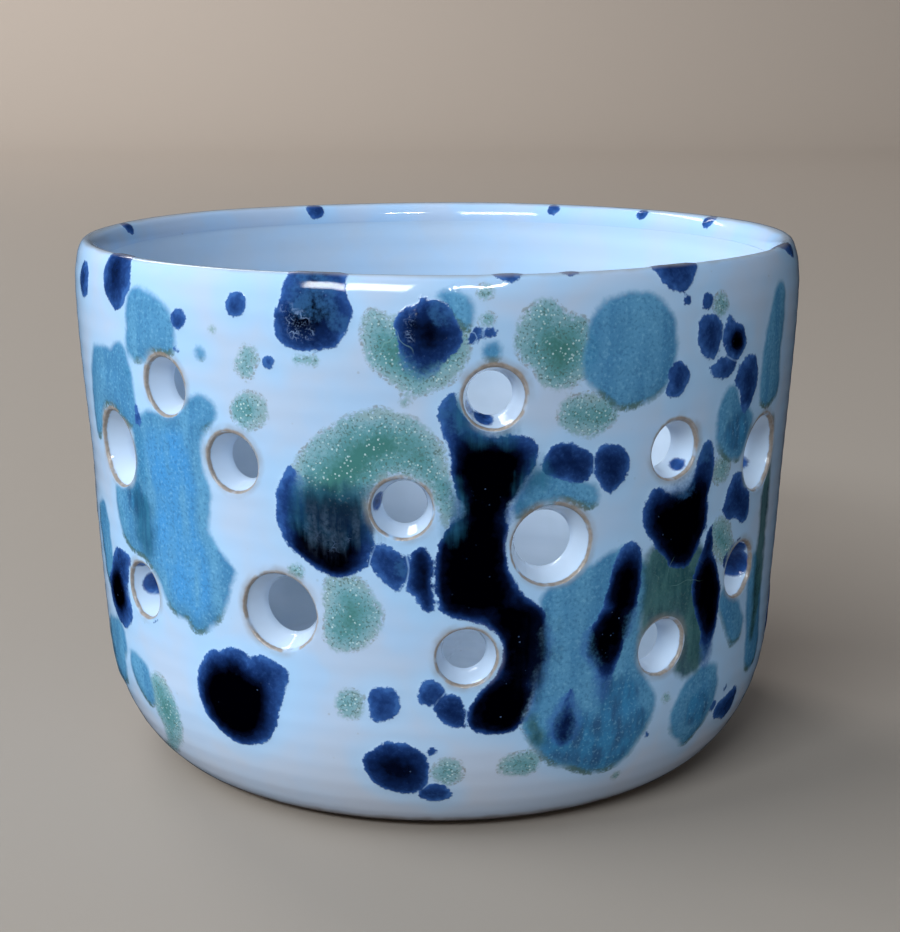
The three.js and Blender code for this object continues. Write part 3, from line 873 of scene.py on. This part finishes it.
def from_holes(piece, rise):
    """Distance from the edge of the nearest stem hole, along the skin; negative in the hole."""
    nearest = np.full(len(rise), 9.0)
    for hole in STEM_HOLES:
        across = ((piece.azimuth - hole[0] + 180) % 360 - 180) * math.radians(PAINT_RADIUS)
        nearest = np.minimum(nearest, np.hypot(across, rise - hole[1]) - mouth_radius(hole))
    return np.where(piece.depth > 0, -piece.depth, nearest)


# Cobalt that ran into a stem hole: (hole azimuth, hole height, direction in degrees round the
# hole's axis from its right-hand side, depth, radius).
TUNNEL_COBALT = [
    (7.5, 63.5, 250, 3.0, 1.7), (7.5, 63.5, 205, 2.6, 1.2), (-5, 49, 170, 2.6, 1.5),
    (35.5, 54.5, 310, 2.2, 1.2), (54, 34, 0, 3.2, 2.7), (54, 34, 50, 2.6, 2.0),
    (-52, 31.5, 185, 4.0, 2.2), (-52, 31.5, 120, 1.2, 1.1), (58, 50.5, -40, 4.0, 1.1),
    (139, 37, 270, 2.0, 1.8), (212, 26.5, 200, 2.5, 1.6),
]
TUNNEL_RADIUS = 3.6

# How far the thickest glaze of each drop stands proud of the milky coat, in mm.
COBALT_RELIEF = 0.16
TURQUOISE_RELIEF = 0.12
GREEN_RELIEF = 0.05

# Depths inside drops are kept between these limits; how far up and down the lower edges are sought.
DEPTH_LIMITS = (-9, 12)
UNDER_REACH = 0.8


def paint(piece, profile):
    """How deep each point lies in each glaze, in millimetres, kept as numbers on the mesh."""
    along = piece.along
    is_tunnel = piece.depth > 0
    radius = np.hypot(piece.points[:, 0], piece.points[:, 1])
    real_azimuth = np.degrees(np.arctan2(piece.points[:, 0], -piece.points[:, 1]))
    rise = np.where(is_tunnel, piece.points[:, 2], rise_of(profile, along))
    azimuth = np.where(is_tunnel, real_azimuth, piece.azimuth)
    front = (along <= profile.stretches[0][1]) | is_tunnel
    holes = from_holes(piece, rise)
    wander_x = 0.1 * noise_at(piece.points, 5.0, 4) + 0.25 * noise_at(piece.points, 1.8, 5)
    wander_y = 0.1 * noise_at(piece.points, 5.0, 6) + 0.25 * noise_at(piece.points, 1.8, 7)
    across = np.radians(azimuth) * PAINT_RADIUS + wander_x
    up = rise + wander_y
    recede = holes - 0.55 - 0.5 * noise_at(piece.points, 3.0, 8)
    layers = {}
    kinds = (("cobalt", COBALT, 0.25), ("turquoise", TURQUOISE, -0.1), ("green", GREEN, -0.4))
    for name, drops, bare in kinds:
        depth, divide = deepest(drops, across, up)
        cleared = np.minimum(depth, 1.2 * (recede + 0.5 - bare))
        layers[name] = np.where(front, np.clip(cleared, *DEPTH_LIMITS), DEPTH_LIMITS[0])
        if name == "cobalt":
            layers["cobalt_spread"] = np.where(front, np.clip(depth, *DEPTH_LIMITS), DEPTH_LIMITS[0])
            layers["divide"] = divide
            layers["divide_near"] = np.abs(divide)
    above, _ = deepest(TURQUOISE, across, up + UNDER_REACH)
    below, _ = deepest(TURQUOISE, across, up - UNDER_REACH)
    under = np.clip((above - below) / (2 * UNDER_REACH), -1, 1)
    layers["turquoise_under"] = np.where(front, under, 0)
    for hole_azimuth, hole_height, direction, depth, size in TUNNEL_COBALT:
        here = is_tunnel & (np.abs(piece.azimuth - hole_azimuth) < 0.1)
        here &= np.abs(piece.points[:, 2] - hole_height) < 7
        turned = (np.degrees(piece.spin) - direction + 180) % 360 - 180
        arc_away = np.radians(turned) * TUNNEL_RADIUS
        inside = size - np.hypot(arc_away, piece.depth - depth) + 0.5 * wander_x
        layers["cobalt"] = np.where(here, np.maximum(layers["cobalt"], inside), layers["cobalt"])
    for name, spots in (("soft", SOFT_SPOTS), ("pool", POOLS), ("bright", BRIGHT), ("deep", DEEP_AND_SHADE),
                        ("thin", THIN_AND_SHEEN)):
        strength = np.zeros(len(along))
        for azimuth, height, size, *share in spots:
            dx = across_from(across, math.radians(azimuth) * PAINT_RADIUS)
            dx -= math.radians(azimuth) * PAINT_RADIUS
            here = smooth(1.6 * (1 - np.hypot(dx, up - height) / size))
            strength = np.maximum(strength, here * (share[0] if share else 1))
        layers[name] = np.where(is_tunnel, 0, strength)
    for name, drops in (("teal", TEAL), ("moss_and_shade", MOSS_AND_SHADE), ("dusk", DUSK), ("crystals", CRYSTALS)):
        depth = np.clip(deepest(drops, across, up)[0], *DEPTH_LIMITS)
        layers[name] = np.where(front & ~is_tunnel, depth, DEPTH_LIMITS[0])
    layers["hole_edge"] = holes
    layers["rise"] = rise
    thick = COBALT_RELIEF * smooth((layers["cobalt"] + 0.2) / 1.5)
    sagging = 1 + 0.8 * layers["turquoise_under"]
    thick += TURQUOISE_RELIEF * smooth((layers["turquoise"] + 0.3) / 2.2) * sagging
    thick += GREEN_RELIEF * smooth((layers["green"] + 0.3) / 2.0)
    skin_only = (along <= profile.stretches[0][1]) & ~is_tunnel
    piece.points += piece.normals * (thick * skin_only)[:, None]
    return layers


SHARP_ANGLE = 48


def mesh_of(name, piece, layers, material):
    """A Blender object from a piece, riding on the pot's body."""
    mesh = bpy.data.meshes.new(name)
    mesh.from_pydata((piece.points * MM).tolist(), [], piece.faces)
    for layer, values in layers.items():
        attribute = mesh.attributes.new(layer, "FLOAT", "POINT")
        attribute.data.foreach_set("value", np.asarray(values, np.float32))
    mesh.shade_smooth()
    mesh.set_sharp_from_angle(angle=math.radians(SHARP_ANGLE))
    mesh.materials.append(material)
    obj = bpy.data.objects.new(name, mesh)
    bpy.context.scene.collection.objects.link(obj)
    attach(obj, "root")
    return obj


# --------------------------------------------------------------------------------------- shading

def rgb(red, green, blue):
    """A colour given as it looks on screen, 0 to 255, as the linear values that shaders use."""
    def linear(value):
        value /= 255
        return value / 12.92 if value <= 0.04045 else ((value + 0.055) / 1.055) ** 2.4
    return linear(red), linear(green), linear(blue), 1.0


# How strongly the glaze mirrors, and how rough it is.
MIRRORING = 0.22
GLOSS = 0.07


class Graph:
    """Builds a material's nodes. Numbers, colours and sockets may all be given as values."""

    def __init__(self, name):
        self.material = bpy.data.materials.new(name)
        self.material.use_nodes = True
        self.nodes = self.material.node_tree.nodes
        self.links = self.material.node_tree.links
        self.nodes.clear()
        place = self.nodes.new("ShaderNodeTexCoord").outputs["Object"]
        self.place = self.scaled(place, (1 / MM, 1 / MM, 1 / MM))

    def put(self, value, socket):
        if isinstance(value, bpy.types.NodeSocket):
            self.links.new(value, socket)
        else:
            socket.default_value = value

    def scaled(self, vector, factors):
        node = self.nodes.new("ShaderNodeVectorMath")
        node.operation = "MULTIPLY"
        self.put(vector, node.inputs[0])
        node.inputs[1].default_value = factors
        return node.outputs[0]

    def math(self, operation, *values):
        node = self.nodes.new("ShaderNodeMath")
        node.operation = operation
        for value, socket in zip(values, node.inputs):
            self.put(value, socket)
        return node.outputs[0]

    def add(self, *values):
        total = values[0]
        for value in values[1:]:
            total = self.math("ADD", total, value)
        return total

    def times(self, *values):
        total = values[0]
        for value in values[1:]:
            total = self.math("MULTIPLY", total, value)
        return total

    def step(self, value, low, high):
        """0 below low, 1 above high, eased between."""
        node = self.nodes.new("ShaderNodeMapRange")
        node.interpolation_type = "SMOOTHSTEP"
        self.put(value, node.inputs["Value"])
        self.put(low, node.inputs["From Min"])
        self.put(high, node.inputs["From Max"])
        return node.outputs["Result"]

    def fall(self, value, low, high):
        """1 below low, 0 above high, eased between."""
        return self.math("SUBTRACT", 1.0, self.step(value, low, high))

    def band(self, value, start, full, fading, end):
        """1 between full and fading, eased to 0 at start and end."""
        return self.times(self.step(value, start, full), self.fall(value, fading, end))

    def mix(self, factor, colour, other):
        node = self.nodes.new("ShaderNodeMix")
        node.data_type = "RGBA"
        self.put(factor, node.inputs["Factor"])
        self.put(colour, node.inputs[6])
        self.put(other, node.inputs[7])
        return node.outputs[2]

    def layer(self, name):
        node = self.nodes.new("ShaderNodeAttribute")
        node.attribute_name = name
        return node.outputs["Fac"]

    def noise(self, size, detail=2.0, seed=0.0, stretch=(1, 1, 1)):
        """Noise from 0 to 1 with features of a size in mm."""
        node = self.nodes.new("ShaderNodeTexNoise")
        node.noise_dimensions = "4D"
        self.put(self.scaled(self.place, stretch), node.inputs["Vector"])
        node.inputs["W"].default_value = seed
        node.inputs["Scale"].default_value = 1 / size
        node.inputs["Detail"].default_value = detail
        return node.outputs[0]

    def around_zero(self, value, amount):
        """Noise from 0 to 1 turned into about -amount to amount."""
        return self.math("MULTIPLY", self.math("SUBTRACT", value, 0.5), 2 * amount)

    def wobble(self, amount, *noise):
        """Noise from about -amount to amount."""
        return self.around_zero(self.noise(*noise), amount)

    def patches(self, low, high, *noise):
        """1 where noise is above high, 0 where it is below low, eased between."""
        return self.step(self.noise(*noise), low, high)

    def cells(self, size, feature="F1", warp=0.0):
        """Distance within cells of a size in mm, whose places are shifted by up to about warp mm."""
        shift = self.nodes.new("ShaderNodeTexNoise")
        self.put(self.place, shift.inputs["Vector"])
        shift.inputs["Scale"].default_value = 1.4 / size
        place = self.nodes.new("ShaderNodeVectorMath")
        place.operation = "MULTIPLY_ADD"
        self.put(shift.outputs[1], place.inputs[0])
        place.inputs[1].default_value = (2 * warp, 2 * warp, 2 * warp)
        self.put(self.place, place.inputs[2])
        node = self.nodes.new("ShaderNodeTexVoronoi")
        node.feature = feature
        self.put(place.outputs[0], node.inputs["Vector"])
        node.inputs["Scale"].default_value = 1 / size
        return node.outputs["Distance"]

    def ramp(self, value, stops):
        """Colour from a list of (value, colour)."""
        low = stops[0][0]
        high = stops[-1][0]
        span = self.nodes.new("ShaderNodeMapRange")
        self.put(value, span.inputs["Value"])
        span.inputs["From Min"].default_value = low
        span.inputs["From Max"].default_value = high
        node = self.nodes.new("ShaderNodeValToRGB")
        self.links.new(span.outputs["Result"], node.inputs["Fac"])
        elements = node.color_ramp.elements
        for _ in stops[2:]:
            elements.new(0.5)
        for element, (place, colour) in zip(elements, stops):
            element.position = (place - low) / (high - low)
            element.color = colour
        return node.outputs["Color"]

    def finish(self, colour, roughness, height=None):
        """Ends in a glossy surface whose bump height is in mm."""
        shader = self.nodes.new("ShaderNodeBsdfPrincipled")
        output = self.nodes.new("ShaderNodeOutputMaterial")
        self.put(colour, shader.inputs["Base Color"])
        self.put(roughness, shader.inputs["Roughness"])
        shader.inputs["Specular IOR Level"].default_value = MIRRORING
        if height is not None:
            bump = self.nodes.new("ShaderNodeBump")
            bump.inputs["Distance"].default_value = MM
            self.put(height, bump.inputs["Height"])
            self.links.new(bump.outputs["Normal"], shader.inputs["Normal"])
        self.links.new(shader.outputs["BSDF"], output.inputs["Surface"])
        return self.material


MILK = rgb(168, 200, 234)
MILK_WARM = rgb(178, 198, 224)
TOAST = rgb(108, 92, 80)
TOAST_PALE = rgb(176, 164, 150)
ROYAL = rgb(74, 108, 172)


def ground_coat(g, milk, shade):
    """The milky glaze under the drops: colour and bump height."""
    colour = g.mix(g.patches(0.38, 0.62, 11, 3, 1), milk, shade)
    speck = g.times(g.fall(g.cells(2.7), 0.04, 0.10), g.patches(0.5, 0.6, 7, 1, 2))
    colour = g.mix(g.times(speck, 0.3), colour, rgb(140, 136, 132))
    height = g.add(g.wobble(0.014, 7, 2, 3), g.wobble(0.003, 1.6, 2, 4))
    return colour, height


def toasted(g, colour, height):
    """The glaze breaks to brown over the edges of the stem holes and the lip, and is browner towards the
    foot.
    """
    edge = g.add(g.layer("hole_edge"), g.wobble(0.25, 1.5, 3, 21))
    spilt = g.fall(g.layer("cobalt"), -0.2, 0.4)
    colour = g.mix(g.times(g.fall(edge, -1.2, -0.5), spilt, 0.75), colour, rgb(204, 220, 238))
    halo = g.times(g.band(edge, -0.9, -0.4, 0.0, 1.0), g.patches(0.36, 0.62, 4, 2, 27))
    colour = g.mix(g.times(halo, 0.45), colour, rgb(138, 134, 132))
    line = g.times(g.band(edge, -0.9, -0.7, -0.3, 0.1), g.patches(0.28, 0.46, 2.4, 2, 22))
    brown = g.mix(g.noise(0.6, 2, 23), TOAST, TOAST_PALE)
    colour = g.mix(g.times(line, 0.9), colour, brown)
    rise = g.layer("rise")
    # Browner towards the foot.
    foot = g.fall(g.add(rise, g.wobble(0.6, 3, 3, 24)), 1.6, 3.0)
    colour = g.mix(g.times(foot, 0.8), colour, TOAST)
    lip = g.add(rise, g.wobble(0.5, 5, 3, 25))
    broken = g.band(lip, HEIGHT - 0.8, HEIGHT, HEIGHT + 0.5, HEIGHT + 1.4)
    colour = g.mix(g.times(broken, 0.6), colour, rgb(146, 144, 142))
    rough = g.math("MULTIPLY_ADD", line, 0.15, GLOSS)
    height = g.add(height, g.times(line, g.wobble(0.03, 0.35, 2, 26)))
    return colour, height, rough


def green_drops(g, colour, height):
    """Copper green: granular, full of pale bubbles, inside a broken brown outline."""
    grain = g.noise(0.42, 2, 31)
    depth = g.add(g.layer("green"), g.wobble(0.35, 2.2, 2, 32),
                  g.wobble(0.25, 0.7, 2, 36))
    rich = g.add(g.layer("green"), g.wobble(2.6, 6, 2, 37), g.around_zero(grain, 1.4))
    tint = g.ramp(rich, [(0, rgb(134, 164, 170)), (1.0, rgb(122, 166, 178)), (2.4, rgb(84, 144, 150)),
                         (4.4, rgb(44, 112, 102))])
    cover = g.times(g.step(depth, -0.4, 0.6), g.step(g.add(depth, g.around_zero(grain, 2.4)), -0.8, 0.7))
    colour = g.mix(g.times(cover, 0.92), colour, tint)
    grit = g.times(g.patches(0.52, 0.66, 0.3, 2, 38), g.band(depth, 0.0, 0.6, 2.4, 4.6))
    colour = g.mix(g.times(grit, 0.65), colour, rgb(74, 96, 86))
    bubble = g.times(g.fall(g.cells(0.55), 0.18, 0.32), g.step(g.layer("green"), 0.3, 1.0))
    bubble = g.times(bubble, g.patches(0.42, 0.56, 1.7, 2, 33))
    colour = g.mix(g.times(bubble, 0.75), colour, rgb(194, 220, 224))
    rim = g.times(g.band(depth, -0.25, -0.05, 0.1, 0.4), g.patches(0.46, 0.6, 0.4, 2, 35))
    rim = g.times(rim, g.patches(0.4, 0.6, 3.4, 2, 39))
    colour = g.mix(g.times(rim, 0.55), colour, rgb(120, 112, 96))
    height = g.add(height, g.times(bubble, 0.02), g.times(cover, g.around_zero(grain, 0.006)))
    return colour, height


def turquoise_drops(g, colour, height):
    """Turquoise: a granular run, streaked downwards, with an olive line along its lower edge."""
    grain = g.noise(0.45, 2, 41)
    streak = g.noise(2.6, 3, 42, (1, 1, 0.22))
    depth = g.add(g.layer("turquoise"), g.wobble(0.4, 1.9, 2, 43),
                  g.around_zero(grain, 0.35))
    tint = g.mix(g.step(streak, 0.3, 0.7), rgb(84, 148, 188), rgb(58, 124, 170))
    core = g.times(g.layer("bright"), g.step(g.layer("turquoise"), 0.8, 3.5), g.step(streak, 0.25, 0.6))
    tint = g.mix(g.times(core, 0.8), tint, rgb(54, 140, 206))
    # Deep blue where turquoise pooled; low on the front right it is also painted shade.
    pooled = g.add(g.layer("deep"), g.wobble(0.8, 2.4, 3, 47, (1, 1, 0.4)))
    pooled = g.times(g.step(pooled, 0.15, 0.9), g.step(g.layer("turquoise"), -0.3, 1.6))
    deep = g.mix(g.patches(0.35, 0.65, 1.6, 3, 48, (1, 1, 0.3)), rgb(20, 74, 120), rgb(38, 122, 172))
    tint = g.mix(g.times(pooled, 0.95), tint, deep)
    tint = g.mix(g.times(g.step(grain, 0.54, 0.7), 0.3), tint, rgb(132, 190, 218))
    tint = g.mix(g.times(g.fall(grain, 0.34, 0.48), 0.45), tint, rgb(40, 98, 142))
    cover = g.step(depth, -0.6, 0.6)
    colour = g.mix(g.times(cover, 0.94), colour, tint)
    low = g.times(g.band(depth, -0.5, -0.15, 0.2, 0.9), g.step(g.layer("turquoise_under"), 0.3, 0.9))
    low = g.times(low, g.patches(0.36, 0.54, 5, 2, 45), g.patches(0.3, 0.5, 0.5, 2, 46))
    colour = g.mix(g.times(low, 0.8), colour, rgb(70, 98, 84))
    height = g.add(height, g.times(cover, g.around_zero(grain, 0.010)), g.times(cover, 0.02))
    return colour, height


def moss_and_shade_patch(g, colour):
    """Dark green where copper and cobalt mixed, made darker still as painted shade on the right."""
    streak = g.noise(1.3, 3, 67, (1, 1, 0.3))
    depth = g.add(g.layer("moss_and_shade"), g.wobble(0.9, 1.6, 3, 68))
    # The dark tints are partly the mixed glaze and partly painted shade.
    tint = g.mix(g.step(streak, 0.3, 0.7), rgb(36, 74, 84), rgb(66, 108, 112))
    tint = g.mix(g.times(g.patches(0.5, 0.7, 0.5, 2, 69), 0.3), tint, rgb(86, 124, 118))
    return g.mix(g.times(g.step(depth, -0.6, 1.0), 0.92), colour, tint)


def teal_runs(g, colour):
    """Deep teal where glazes mixed, with dark and pale streaks that ran down."""
    streak = g.noise(0.8, 4, 62, (1, 1, 0.09))
    depth = g.add(g.layer("teal"), g.wobble(1.4, 1.8, 3, 63), g.around_zero(streak, 1.4))
    tint = g.mix(g.step(streak, 0.25, 0.75), rgb(22, 62, 96), rgb(44, 104, 134))
    colour = g.mix(g.times(g.step(depth, -1.4, 1.8), 0.8), colour, tint)
    depth = g.add(g.layer("dusk"), g.wobble(2.0, 1.8, 3, 66), g.around_zero(streak, 2.4))
    veil = g.times(g.step(streak, 0.4, 0.7), g.step(g.layer("crystals"), -3.2, 0.8))
    veil = g.times(veil, g.patches(0.25, 0.65, 0.5, 3, 70), 0.75)
    tint = g.mix(veil, rgb(6, 14, 36), rgb(64, 78, 98))
    return g.mix(g.times(g.step(depth, -1.8, 3.2), 0.88), colour, tint)


def cobalt_drops(g, colour, height):
    """Cobalt: royal blue where it is thin, almost black where it pooled."""
    depth = g.layer("cobalt")
    soft = g.layer("soft")
    fine = g.noise(0.42, 3, 51)
    ragged = g.add(depth, g.wobble(0.35, 1.5, 3, 52),
                   g.times(g.around_zero(fine, 1.0), g.add(0.42, soft)))
    width = g.math("MULTIPLY_ADD", soft, 1.7, 0.14)
    cover = g.step(ragged, g.math("MULTIPLY", width, -1), width)
    pool = g.times(g.layer("pool"), g.step(depth, -0.3, 1.0), 4.4)
    pooled = g.add(depth, pool, g.wobble(1.4, 3.2, 3, 53),
                   g.wobble(1.3, 0.9, 3, 56), g.times(soft, -0.6))
    tint = g.ramp(pooled, [(0, rgb(58, 100, 164)), (0.5, rgb(42, 78, 140)), (1.5, rgb(27, 55, 108)),
                           (3.0, rgb(15, 36, 80)), (4.6, rgb(5, 13, 36)), (6.2, rgb(0, 0, 3))])
    # Teal-blue where the cobalt stayed thin; on the lip this also paints the sheen of the lip's highlight.
    thin = g.add(g.layer("thin"), g.wobble(0.9, 1.4, 4, 60), g.around_zero(fine, 0.7))
    tint = g.mix(g.times(g.step(thin, 0.4, 1.4), 0.75), tint, rgb(50, 94, 142))
    mottle = g.times(g.patches(0.45, 0.75, 0.45, 3, 54), g.fall(pooled, 1.6, 4.0))
    tint = g.mix(g.times(mottle, 0.28), tint, rgb(56, 98, 162))
    speck = g.times(g.fall(g.cells(1.3), 0.06, 0.12), g.patches(0.48, 0.62, 5, 2, 65))
    tint = g.mix(g.times(speck, g.step(depth, 1.2, 2.4), 0.5), tint, rgb(96, 124, 168))
    gap = g.math("ABSOLUTE", g.layer("divide"))
    line = g.times(g.fall(gap, 0.1, 0.36), g.fall(g.layer("divide_near"), 1.2, 2.0))
    line = g.times(line, g.patches(0.3, 0.5, 2.0, 2, 55))
    tint = g.mix(g.times(line, 0.75), tint, rgb(124, 160, 206))
    net = g.fall(g.cells(1.5, "DISTANCE_TO_EDGE", 1.1), 0.02, 0.1)
    net = g.times(net, g.patches(0.4, 0.56, 1.3, 2, 57))
    net = g.math("MAXIMUM", net, g.times(g.patches(0.52, 0.7, 0.25, 2, 59), 0.5))
    net = g.times(net, g.step(g.add(g.layer("crystals"), g.wobble(1.8, 2, 2, 58)), -0.2, 1.2))
    tint = g.mix(g.times(net, 0.65), tint, rgb(120, 146, 186))
    fringe = g.times(g.step(g.layer("cobalt_spread"), 0.0, 1.4), g.step(g.layer("hole_edge"), -0.4, 0.0))
    colour = g.mix(g.times(fringe, 0.8), colour, rgb(74, 132, 166))
    colour = g.mix(cover, colour, tint)
    height = g.add(height, g.times(cover, 0.035), g.times(line, cover, -0.03))
    return colour, height


def outer_glaze_paint():
    g = Graph("outer_glaze_paint")
    colour, height = ground_coat(g, MILK, MILK_WARM)
    colour = g.mix(g.times(g.fall(g.layer("rise"), 4.0, 22.0), 0.45), colour, rgb(200, 200, 208))
    near = g.math("MAXIMUM", g.layer("cobalt"), g.layer("turquoise"))
    colour = g.mix(g.times(g.step(near, -3.5, -0.3), 0.45), colour, rgb(160, 204, 242))
    colour, height = green_drops(g, colour, height)
    colour, height = turquoise_drops(g, colour, height)
    colour = moss_and_shade_patch(g, colour)
    colour, height = cobalt_drops(g, colour, height)
    colour = teal_runs(g, colour)
    crackle = g.times(g.fall(g.cells(9, "DISTANCE_TO_EDGE", 3.0), 0.002, 0.008),
                      g.step(g.layer("green"), 1.0, 2.5))
    crackle = g.times(crackle, g.patches(0.45, 0.6, 6, 1, 64), g.fall(g.layer("dusk"), -2.0, 0.0))
    colour = g.mix(g.times(crackle, 0.25), colour, rgb(150, 196, 190))
    colour, height, rough = toasted(g, colour, height)
    return g.finish(colour, rough, height)


def liner_glaze_paint():
    g = Graph("liner_glaze_paint")
    colour, height = ground_coat(g, rgb(196, 208, 222), rgb(188, 202, 216))
    top = g.step(g.layer("rise"), 42.0, 60.0)
    lip_milk = g.mix(g.patches(0.38, 0.62, 11, 3, 1), rgb(182, 210, 238), rgb(188, 208, 230))
    colour = g.mix(top, colour, lip_milk)
    depth = g.add(g.layer("cobalt"), g.wobble(0.4, 1.2, 2, 61))
    colour = g.mix(g.step(depth, -0.3, 0.5), colour, ROYAL)
    return g.finish(colour, GLOSS, height)


def clay_paint():
    """Fired stoneware clay: warm buff with darker grog and a faint toasted blush."""
    g = Graph("bare_clay_paint")
    colour = g.mix(g.noise(9, 3, 71), rgb(168, 144, 118), rgb(142, 116, 92))
    grog = g.times(g.fall(g.cells(1.4), 0.1, 0.22), g.patches(0.45, 0.6, 3, 2, 72))
    colour = g.mix(g.times(grog, 0.6), colour, rgb(98, 76, 56))
    height = g.add(g.wobble(0.05, 0.6, 3, 73), g.times(grog, 0.03))
    return g.finish(colour, 0.85, height)


# --------------------------------------------------------------------------------- the pot itself

outer_profile, outer = outer_coat()
liner_profile, liner = liner_coat()
clay_profile, clay = clay_pot()
throwing_rings(outer, outer_profile, 3.1, 0.022)
throwing_rings(liner, liner_profile, 4.2, 0.06)
outer_layers = paint(outer, outer_profile)
for piece in (outer, liner, clay):
    hand_thrown(piece.points)

INSIDE_COBALT = [[(213.0, 14.6, 1.4), (221.0, 13.8, 1.7)]]
liner_depth, _ = deepest(INSIDE_COBALT, np.radians(liner.azimuth) * PAINT_RADIUS, liner.points[:, 2])

outer_glaze = mesh_of("outer_glaze_coat", outer, outer_layers, outer_glaze_paint())
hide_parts("outer_glaze")
liner_layers = {"cobalt": liner_depth, "rise": liner.points[:, 2]}
liner_glaze = mesh_of("liner_glaze_coat", liner, liner_layers, liner_glaze_paint())
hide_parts("liner_glaze")
clay_body = mesh_of("clay_pot", clay, {}, clay_paint())
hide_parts("clay_body")


# ------------------------------------------------------------------------ floor, light and camera

def floor_and_backdrop():
    """A plain pale sweep: a floor that curves up into a backdrop."""
    half_width = 3.0
    near = -3.0
    far = 1.6
    bend = 0.8
    top = 4.0
    steps = 24
    section = [(near, 0.0), (far, 0.0)]
    for step in range(1, steps + 1):
        turn = math.radians(90 * step / steps)
        section.append((far + bend * math.sin(turn), bend * (1 - math.cos(turn))))
    section.append((far + bend, top))
    corners = [(x, y, z) for y, z in section for x in (-half_width, half_width)]
    faces = [(2 * i, 2 * i + 1, 2 * i + 3, 2 * i + 2) for i in range(len(section) - 1)]
    mesh = bpy.data.meshes.new("floor_sweep")
    mesh.from_pydata(corners, [], faces)
    mesh.shade_smooth()
    g = Graph("pale_floor")
    mesh.materials.append(g.finish(rgb(152, 143, 134), 0.7))
    sweep = bpy.data.objects.new("floor_sweep", mesh)
    bpy.context.scene.collection.objects.link(sweep)
    sweep.visible_glossy = False


def area_light(name, azimuth, elevation, distance, size, power, colour, aim=(0, 0, 0.045)):
    """A soft rectangular light. Its azimuth is counted from the front towards +X, round its aim."""
    a = math.radians(azimuth)
    e = math.radians(elevation)
    away = Vector((math.sin(a) * math.cos(e), -math.cos(a) * math.cos(e), math.sin(e)))
    light = bpy.data.lights.new(name, "AREA")
    light.shape = "RECTANGLE"
    light.size, light.size_y = size
    light.energy = power
    light.color = colour
    lamp = bpy.data.objects.new(name, light)
    lamp.location = Vector(aim) + away * distance
    lamp.rotation_euler = away.to_track_quat("Z", "Y").to_euler()
    bpy.context.scene.collection.objects.link(lamp)
    return lamp


def studio():
    """Soft windows on the left and in front, two glints on the lip, a backdrop light, a dim surround."""
    world = bpy.data.worlds.new("surround")
    world.use_nodes = True
    background = world.node_tree.nodes["Background"]
    background.inputs["Color"].default_value = (0.86, 0.92, 1.0, 1.0)
    background.inputs["Strength"].default_value = 0.32
    bpy.context.scene.world = world
    world.cycles_visibility.glossy = False
    area_light("left_window", -84, 34, 1.3, (1.1, 0.8), 15.5, (0.92, 0.97, 1.0)).visible_glossy = False
    area_light("front_window", -25.5, 34, 1.5, (0.76, 0.24), 14.5, (0.86, 0.94, 1.0))
    area_light("front_glint", -25.5, 34, 1.49, (0.78, 0.38), 19, (1.0, 1.0, 1.0)).visible_diffuse = False
    area_light("narrow_glint", 14.5, 36, 1.5, (0.34, 0.04), 14, (1.0, 1.0, 1.0)).visible_diffuse = False
    area_light("backdrop_light", -50, 40, 1.6, (1.0, 1.0), 36, (1.0, 0.96, 0.94), (0, 2.3, 0.5))
    bpy.context.scene.view_settings.view_transform = "Standard"


LENS = 65.7
SENSOR = 36.0
EYE = (0, -0.2638, 0.1057)
LOOKING_DOWN = 13.65
TURNED_RIGHT = 0.41


def camera():
    """Looks down at the pot from in front, as the pot was seen."""
    lens = bpy.data.cameras.new("camera")
    lens.lens = LENS
    lens.sensor_width = SENSOR
    eye = bpy.data.objects.new("camera", lens)
    eye.location = EYE
    eye.rotation_euler = (math.radians(90 - LOOKING_DOWN), 0, math.radians(-TURNED_RIGHT))
    bpy.context.scene.collection.objects.link(eye)
    bpy.context.scene.camera = eye


floor_and_backdrop()
studio()
camera()
